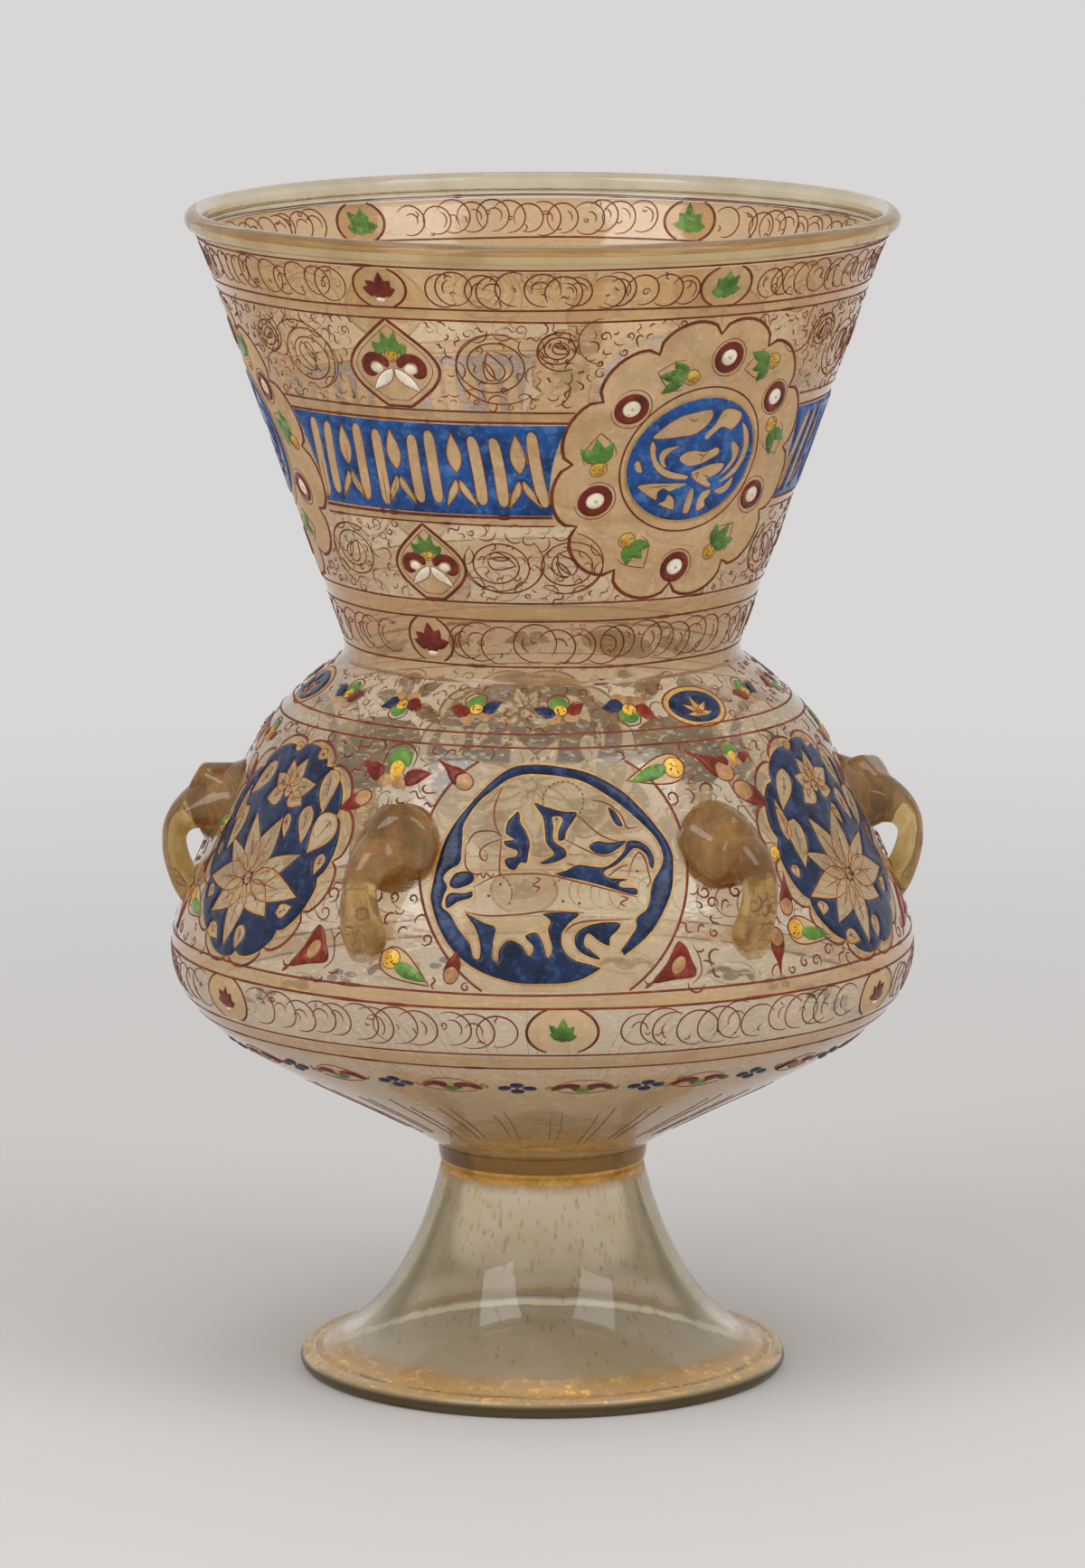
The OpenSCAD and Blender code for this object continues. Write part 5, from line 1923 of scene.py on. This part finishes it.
class LAMP_OT_bulb_field(Operator):
    """Draws the loose flowers and pen strokes between the medallions of the bulb"""

    bl_idname = "lamp.bulb_field"
    bl_label = "Bulb field"

    sprig_size = 1.2

    def execute(self, context):
        rng = hand(180)
        board = Board()
        shapes = [(az, BULB_Z, 32.2, 32.0) for az in ROUNDELS]
        shapes += [(az, BULB_Z, 28.8, 28.6) for az in LOBED]
        for az in LOOPS:
            shapes += [(az, 141.0, 12.0, 10.0), (az, 117.0, 6.0, 8.0)]
        for k, az in enumerate(LOOPS):
            for shift, z, kind, turn, size in BULB_SPRIGS[k % 2]:
                size *= self.sprig_size
                place = az + shift + rng.uniform(-0.6, 0.6)
                board.at(place, z, turn=turn + rng.uniform(-8, 8), size=size)
                getattr(self, kind)(board, rng)
                shapes.append((az + shift, z, 5.0 * size, 4.0 * size))
        places = scatter(rng, BULB_FIELD, 3.0, blocked(shapes), 12000)
        pen_strokes(board, rng, places, (2.2, 4.4), (1.0, 1.5))
        board.make("bulb_field")
        return {"FINISHED"}

    @staticmethod
    def cone(board, rng):
        """A green cap over a dotted drop, with a red leaf at each side."""
        cap = [(-2.0, 0.2), (-1.7, 2.4), (0, 3.4), (1.9, 2.4), (2.1, 0.2), (0.2, 0.9)]
        board.fill("green", [curve(cap, 5, True)])
        board.fill("yellow", [leaf(0.1, 1.2, -90, 4.2, 2.4, 0, 0.6)], grid=0.7)
        for _ in range(6):
            board.dot("black", rng.uniform(-0.6, 0.7), rng.uniform(-1.8, 0.6), 0.2, 0.46, 6)
        for side in (-1, 1):
            board.fill("red", [petal((side * 1.8, -1.8), (side * 6.6, -1.0), 3.0, side * 0.15, 0.6)])
            board.fill("tan", [ring(side * 1.3, -2.6, 1.4, 1.1, 16)], (), 0.2)
        board.stroke(curve([(-2.6, -1.0), (-2.5, 2.6), (0, 4.2), (2.6, 2.6), (2.8, 0)], 5), 0.3)

    @staticmethod
    def green(board, rng):
        """A green leaf with a dotted round end, in an outlined patch of gilding."""
        halo = leaf(-5.4, 0, 0, 11.6, 5.4, 0.04, 0.55, 14)
        board.film("gilt", [halo], (), 2.0)
        board.outline(halo, 0.3)
        board.fill("green", [leaf(-2.2, -0.2, 2, 8.0, 2.8, 0.1, 0.7)])
        dotted_drop(board, -3.2, 0.1, 1.8, rng)

    @staticmethod
    def drop(board, rng):
        """A red leaf drawn out to a point from a buff base."""
        board.fill("tan", [ring(-2.0, 0, 2.3, 1.7, 20)], (), 0.18, 1.0)
        tail = [(-1.4, 1.9), (0.8, 1.7), (3.2, 0.6), (6.4, 0.1), (3.2, -0.7), (0.6, -1.8), (-1.2, -1.7)]
        board.fill("red", [curve(tail + [(-0.4, 0.0)], 4, True)])
        board.stroke(arc(-2.0, 0, 2.5, 50, 310, 18, 0.76), 0.34)
        board.stroke(curve([(-4.8, -0.6), (-3.4, -0.3), (-2.2, 0.3)], 4), 0.24)

    @staticmethod
    def heart(board, rng):
        """A red heart leaf with a buff drop in it and a short stalk."""
        heart = [(-4.8, -3.6), (-1.6, -0.2), (0.5, 3.0), (1.8, 4.1), (3.2, 2.6), (3.9, 0.2), (4.6, -1.8)]
        heart += [(3.9, -3.2), (0.0, -3.4)]
        drop = moved(ring(0, 0, 2.0, 1.2, 20), 1.0, -0.6, 50)
        board.fill("red", [curve(heart, 5, True)], [drop])
        board.fill("tan", [drop], (), 0.2)
        board.stroke(curve([(4.4, 3.4), (5.6, 0.6), (5.6, -2.6), (3.6, -4.4)], 5), 0.28)
        board.stroke(curve([(-6.4, -4.6), (-5.4, -4.0), (-4.4, -3.4)], 4), 0.7)


class LAMP_OT_belly_band(Operator):
    """Lays the scroll band with small medallions below the belly line"""

    bl_idname = "lamp.belly_band"
    bl_label = "Belly band"

    def execute(self, context):
        rng = hand(200)
        board = Board()
        skip = blocked([(az, BAND_Z, 9.4, 6.6) for az in BAND_MEDALLIONS])
        scroll_row(board, rng, BELLY_BAND, 3.6, skip, settings().thin_line, 1.2)
        board.make("belly_band")
        for number, az in enumerate(BAND_MEDALLIONS):
            name = f"band_medallion_{number + 1}"
            colour = "red" if number % 2 else "green"
            medallion = Board(az, BAND_Z)
            oval_medallion(medallion, 8.4, 5.5, colour, rng, 1.35)
            medallion.make(name, {colour: [name]})
        return {"FINISHED"}


class LAMP_OT_underside(Operator):
    """Draws the row of small flowers and the rays under the bulb"""

    bl_idname = "lamp.underside"
    bl_label = "Underside"

    flower_count, first_flower = 32, -30
    ray_count = 30
    hook = [
        (0.8, 1.6), (3.4, 2.6), (6.4, 1.4), (7.4, -0.8), (5.6, -0.4), (4.0, 0.6), (2.2, -0.4), (1.0, 0.2),
    ]
    # Place and turn of each blue petal
    petals = ((-3.0, 0.2, 10), (3.0, 0.2, -10), (0.0, 1.8, 0), (0.0, -1.6, 0))

    def execute(self, context):
        rng = hand(220)
        board = Board()
        for k in range(self.flower_count):
            az = self.first_flower + 360 / self.flower_count * k
            board.at(az + rng.uniform(-0.5, 0.5), UNDER_FLOWER_Z)
            if k % 2:
                self.red_flower(board)
            else:
                self.blue_flower(board)
            for side in (-1, 1):
                board.stroke(moved(comma(rng, 2.4), side * 8.0, rng.uniform(-1, 3)), 0.24)
        for k in range(self.ray_count):
            az = 360 / self.ray_count * k + rng.uniform(-1.5, 1.5)
            for shift in (-1.4, 1.4):
                start, end = rng.uniform(-15, -11), rng.uniform(12, 20)
                board.at(az + shift, RAY_Z).stroke(curve([(0, start), (0.3, 0), (-0.3, end)]), 0.17)
        board.make("underside")
        return {"FINISHED"}

    def blue_flower(self, board):
        """Four blue petals round a red dot."""
        for place in self.petals:
            board.fill("navy", [moved(ring(0, 0, 1.75, 1.15, 14), *place)])
        board.dot("red", 0, 0.1, 0.4, 0.3)

    def red_flower(self, board):
        """Two red hooks over a green leaf, with a gilded heart and thin lines round it."""
        for side in (-1, 1):
            board.fill("red", [curve(self.hook, 4, True) * (side, 1)])
        board.fill("green", [petal((-2.6, -0.8), (2.6, -0.8), 2.6, 0.0, 0.9)])
        board.fill("gold", [ring(0, 1.0, 1.2, 0.9, 14)], (), 0.25)
        board.stroke(curve([(-6.0, -1.6), (-2.0, -3.0), (2.0, -3.0), (6.0, -1.6)], 5), 0.28)
        board.stroke(arc(0, -4.6, 9.0, 30, 150, 18), 0.26)


class LAMP_OT_stage(Operator):
    """Sets up the floor, the lights, the world and the camera"""

    bl_idname = "lamp.stage"
    bl_label = "Stage"

    floor_radii = (0.0, 0.15, 0.3, 0.5, 0.8, 1.3, 2.2, 4.0, 8.0, 16.0, 30.0)
    floor_sides = 48
    floor_cloud = (0.50, 0.488, 0.48, 1)
    even_ground = (0.685, 0.675, 0.672, 1)
    aim = (0, 0, 0.15)
    # Name, place, size, power and whether the glass mirrors it
    lamps = (
        ("left_softbox", (-1.3, -1.1, 1.1), (0.9, 1.3), 9.0, False),
        ("right_softbox", (1.3, -1.0, 1.0), (0.9, 1.3), 7.5, False),
        ("top_softbox", (0.0, -0.5, 1.9), (1.2, 1.2), 14.0, False),
        ("left_window", (-0.9, -0.9, 1.4), (0.8, 1.0), 8.0, True),
        ("right_window", (0.9, -0.8, 1.4), (0.8, 1.0), 6.5, True),
        ("top_window", (0.0, 0.5, 1.9), (0.5, 0.4), 1.6, True),
    )
    world_colour = (0.92, 0.91, 0.90, 1)
    world_level = 0.72
    camera_away, camera_height = 2.0188, 0.4983
    sensor_height = 36
    camera_turn, camera_pitch = math.radians(3), math.radians(9.95)

    def execute(self, context):
        scene = context.scene
        self.floor()
        self.lights(scene)
        self.camera(scene)
        scene.view_settings.view_transform = "Standard"
        return {"FINISHED"}

    def floor(self):
        """A wide floor that keeps the lamp's shadow and turns into an even pale ground farther off."""
        paint = Paint("stage_paper")
        colour = tuple(settings().floor_colour) + (1,)
        tone = paint.mix(paint.noise(3, 3, 0.5) * 0.2, colour, self.floor_cloud)
        paper = paint.body(tone, 0.8)
        even = paint.node("ShaderNodeEmission", {}, {"Color": self.even_ground, "Strength": 1.0})
        seen = (paint.ray("Camera") + paint.ray("Glossy") + paint.ray("Transmission")).clamp()
        surface = paint.blend(seen * paint.length(paint.place()).step(0.2, 1.0), paper, even)
        points, faces = lathe([(r / MM, 0.0) for r in self.floor_radii], self.floor_sides)
        smooth_object("stage_floor", points, faces, paint.finish(surface))

    def lights(self, scene):
        """Large soft lamps at both sides and above, and an even world."""
        level = settings().light_level
        for name, place, size, power, mirrored in self.lamps:
            light = bpy.data.lights.new(name, "AREA")
            light.shape = "RECTANGLE"
            light.size, light.size_y = size
            light.energy = power * level
            lamp = bpy.data.objects.new(name, light)
            lamp.location = place
            lamp.rotation_euler = (Vector(self.aim) - Vector(place)).to_track_quat("-Z", "Y").to_euler()
            lamp.visible_glossy = mirrored
            lamp.visible_transmission = False
            scene.collection.objects.link(lamp)
        world = bpy.data.worlds.new("studio")
        world.use_nodes = True
        background = world.node_tree.nodes["Background"]
        background.inputs["Color"].default_value = self.world_colour
        background.inputs["Strength"].default_value = self.world_level * level
        scene.world = world

    def camera(self, scene):
        """A long lens a little above the lamp, looking slightly down."""
        data = bpy.data.cameras.new("camera")
        data.sensor_fit = "VERTICAL"
        data.sensor_height = self.sensor_height
        data.lens = settings().lens
        camera = bpy.data.objects.new("camera", data)
        turn = self.camera_turn
        x, y = self.camera_away * math.sin(turn), self.camera_away * math.cos(turn)
        camera.location = (-x, -y, self.camera_height)
        camera.rotation_euler = (math.pi / 2 - self.camera_pitch, 0, -turn)
        scene.collection.objects.link(camera)
        scene.camera = camera


OPERATORS = (
    LAMP_OT_vessel,
    LAMP_OT_foot,
    LAMP_OT_loops,
    LAMP_OT_ring_lines,
    LAMP_OT_neck_panels,
    LAMP_OT_neck_medallions,
    LAMP_OT_neck_fields,
    LAMP_OT_shoulder,
    LAMP_OT_bulb_roundels,
    LAMP_OT_bulb_medallions,
    LAMP_OT_bulb_field,
    LAMP_OT_belly_band,
    LAMP_OT_underside,
    LAMP_OT_stage,
)


class LAMP_PT_sidebar(Panel):
    """Lists the steps of the lamp"""

    bl_label = "Enamelled lamp"
    bl_space_type = "VIEW_3D"
    bl_region_type = "UI"
    bl_category = "Lamp"

    def draw(self, context):
        for operator in OPERATORS:
            self.layout.operator(operator.bl_idname)


CLASSES = (LampSettings,) + OPERATORS + (LAMP_PT_sidebar,)


def register():
    """Registers the classes and the settings."""
    for item in CLASSES:
        bpy.utils.register_class(item)
    bpy.types.Scene.lamp_settings = PointerProperty(type=LampSettings)


def unregister():
    """Takes the settings and the classes away."""
    del bpy.types.Scene.lamp_settings
    for item in reversed(CLASSES):
        bpy.utils.unregister_class(item)


def main():
    """Builds the lamp."""
    register()
    for operator in OPERATORS:
        group, name = operator.bl_idname.split(".")
        getattr(getattr(bpy.ops, group), name)()


if __name__ == "__main__":
    main()
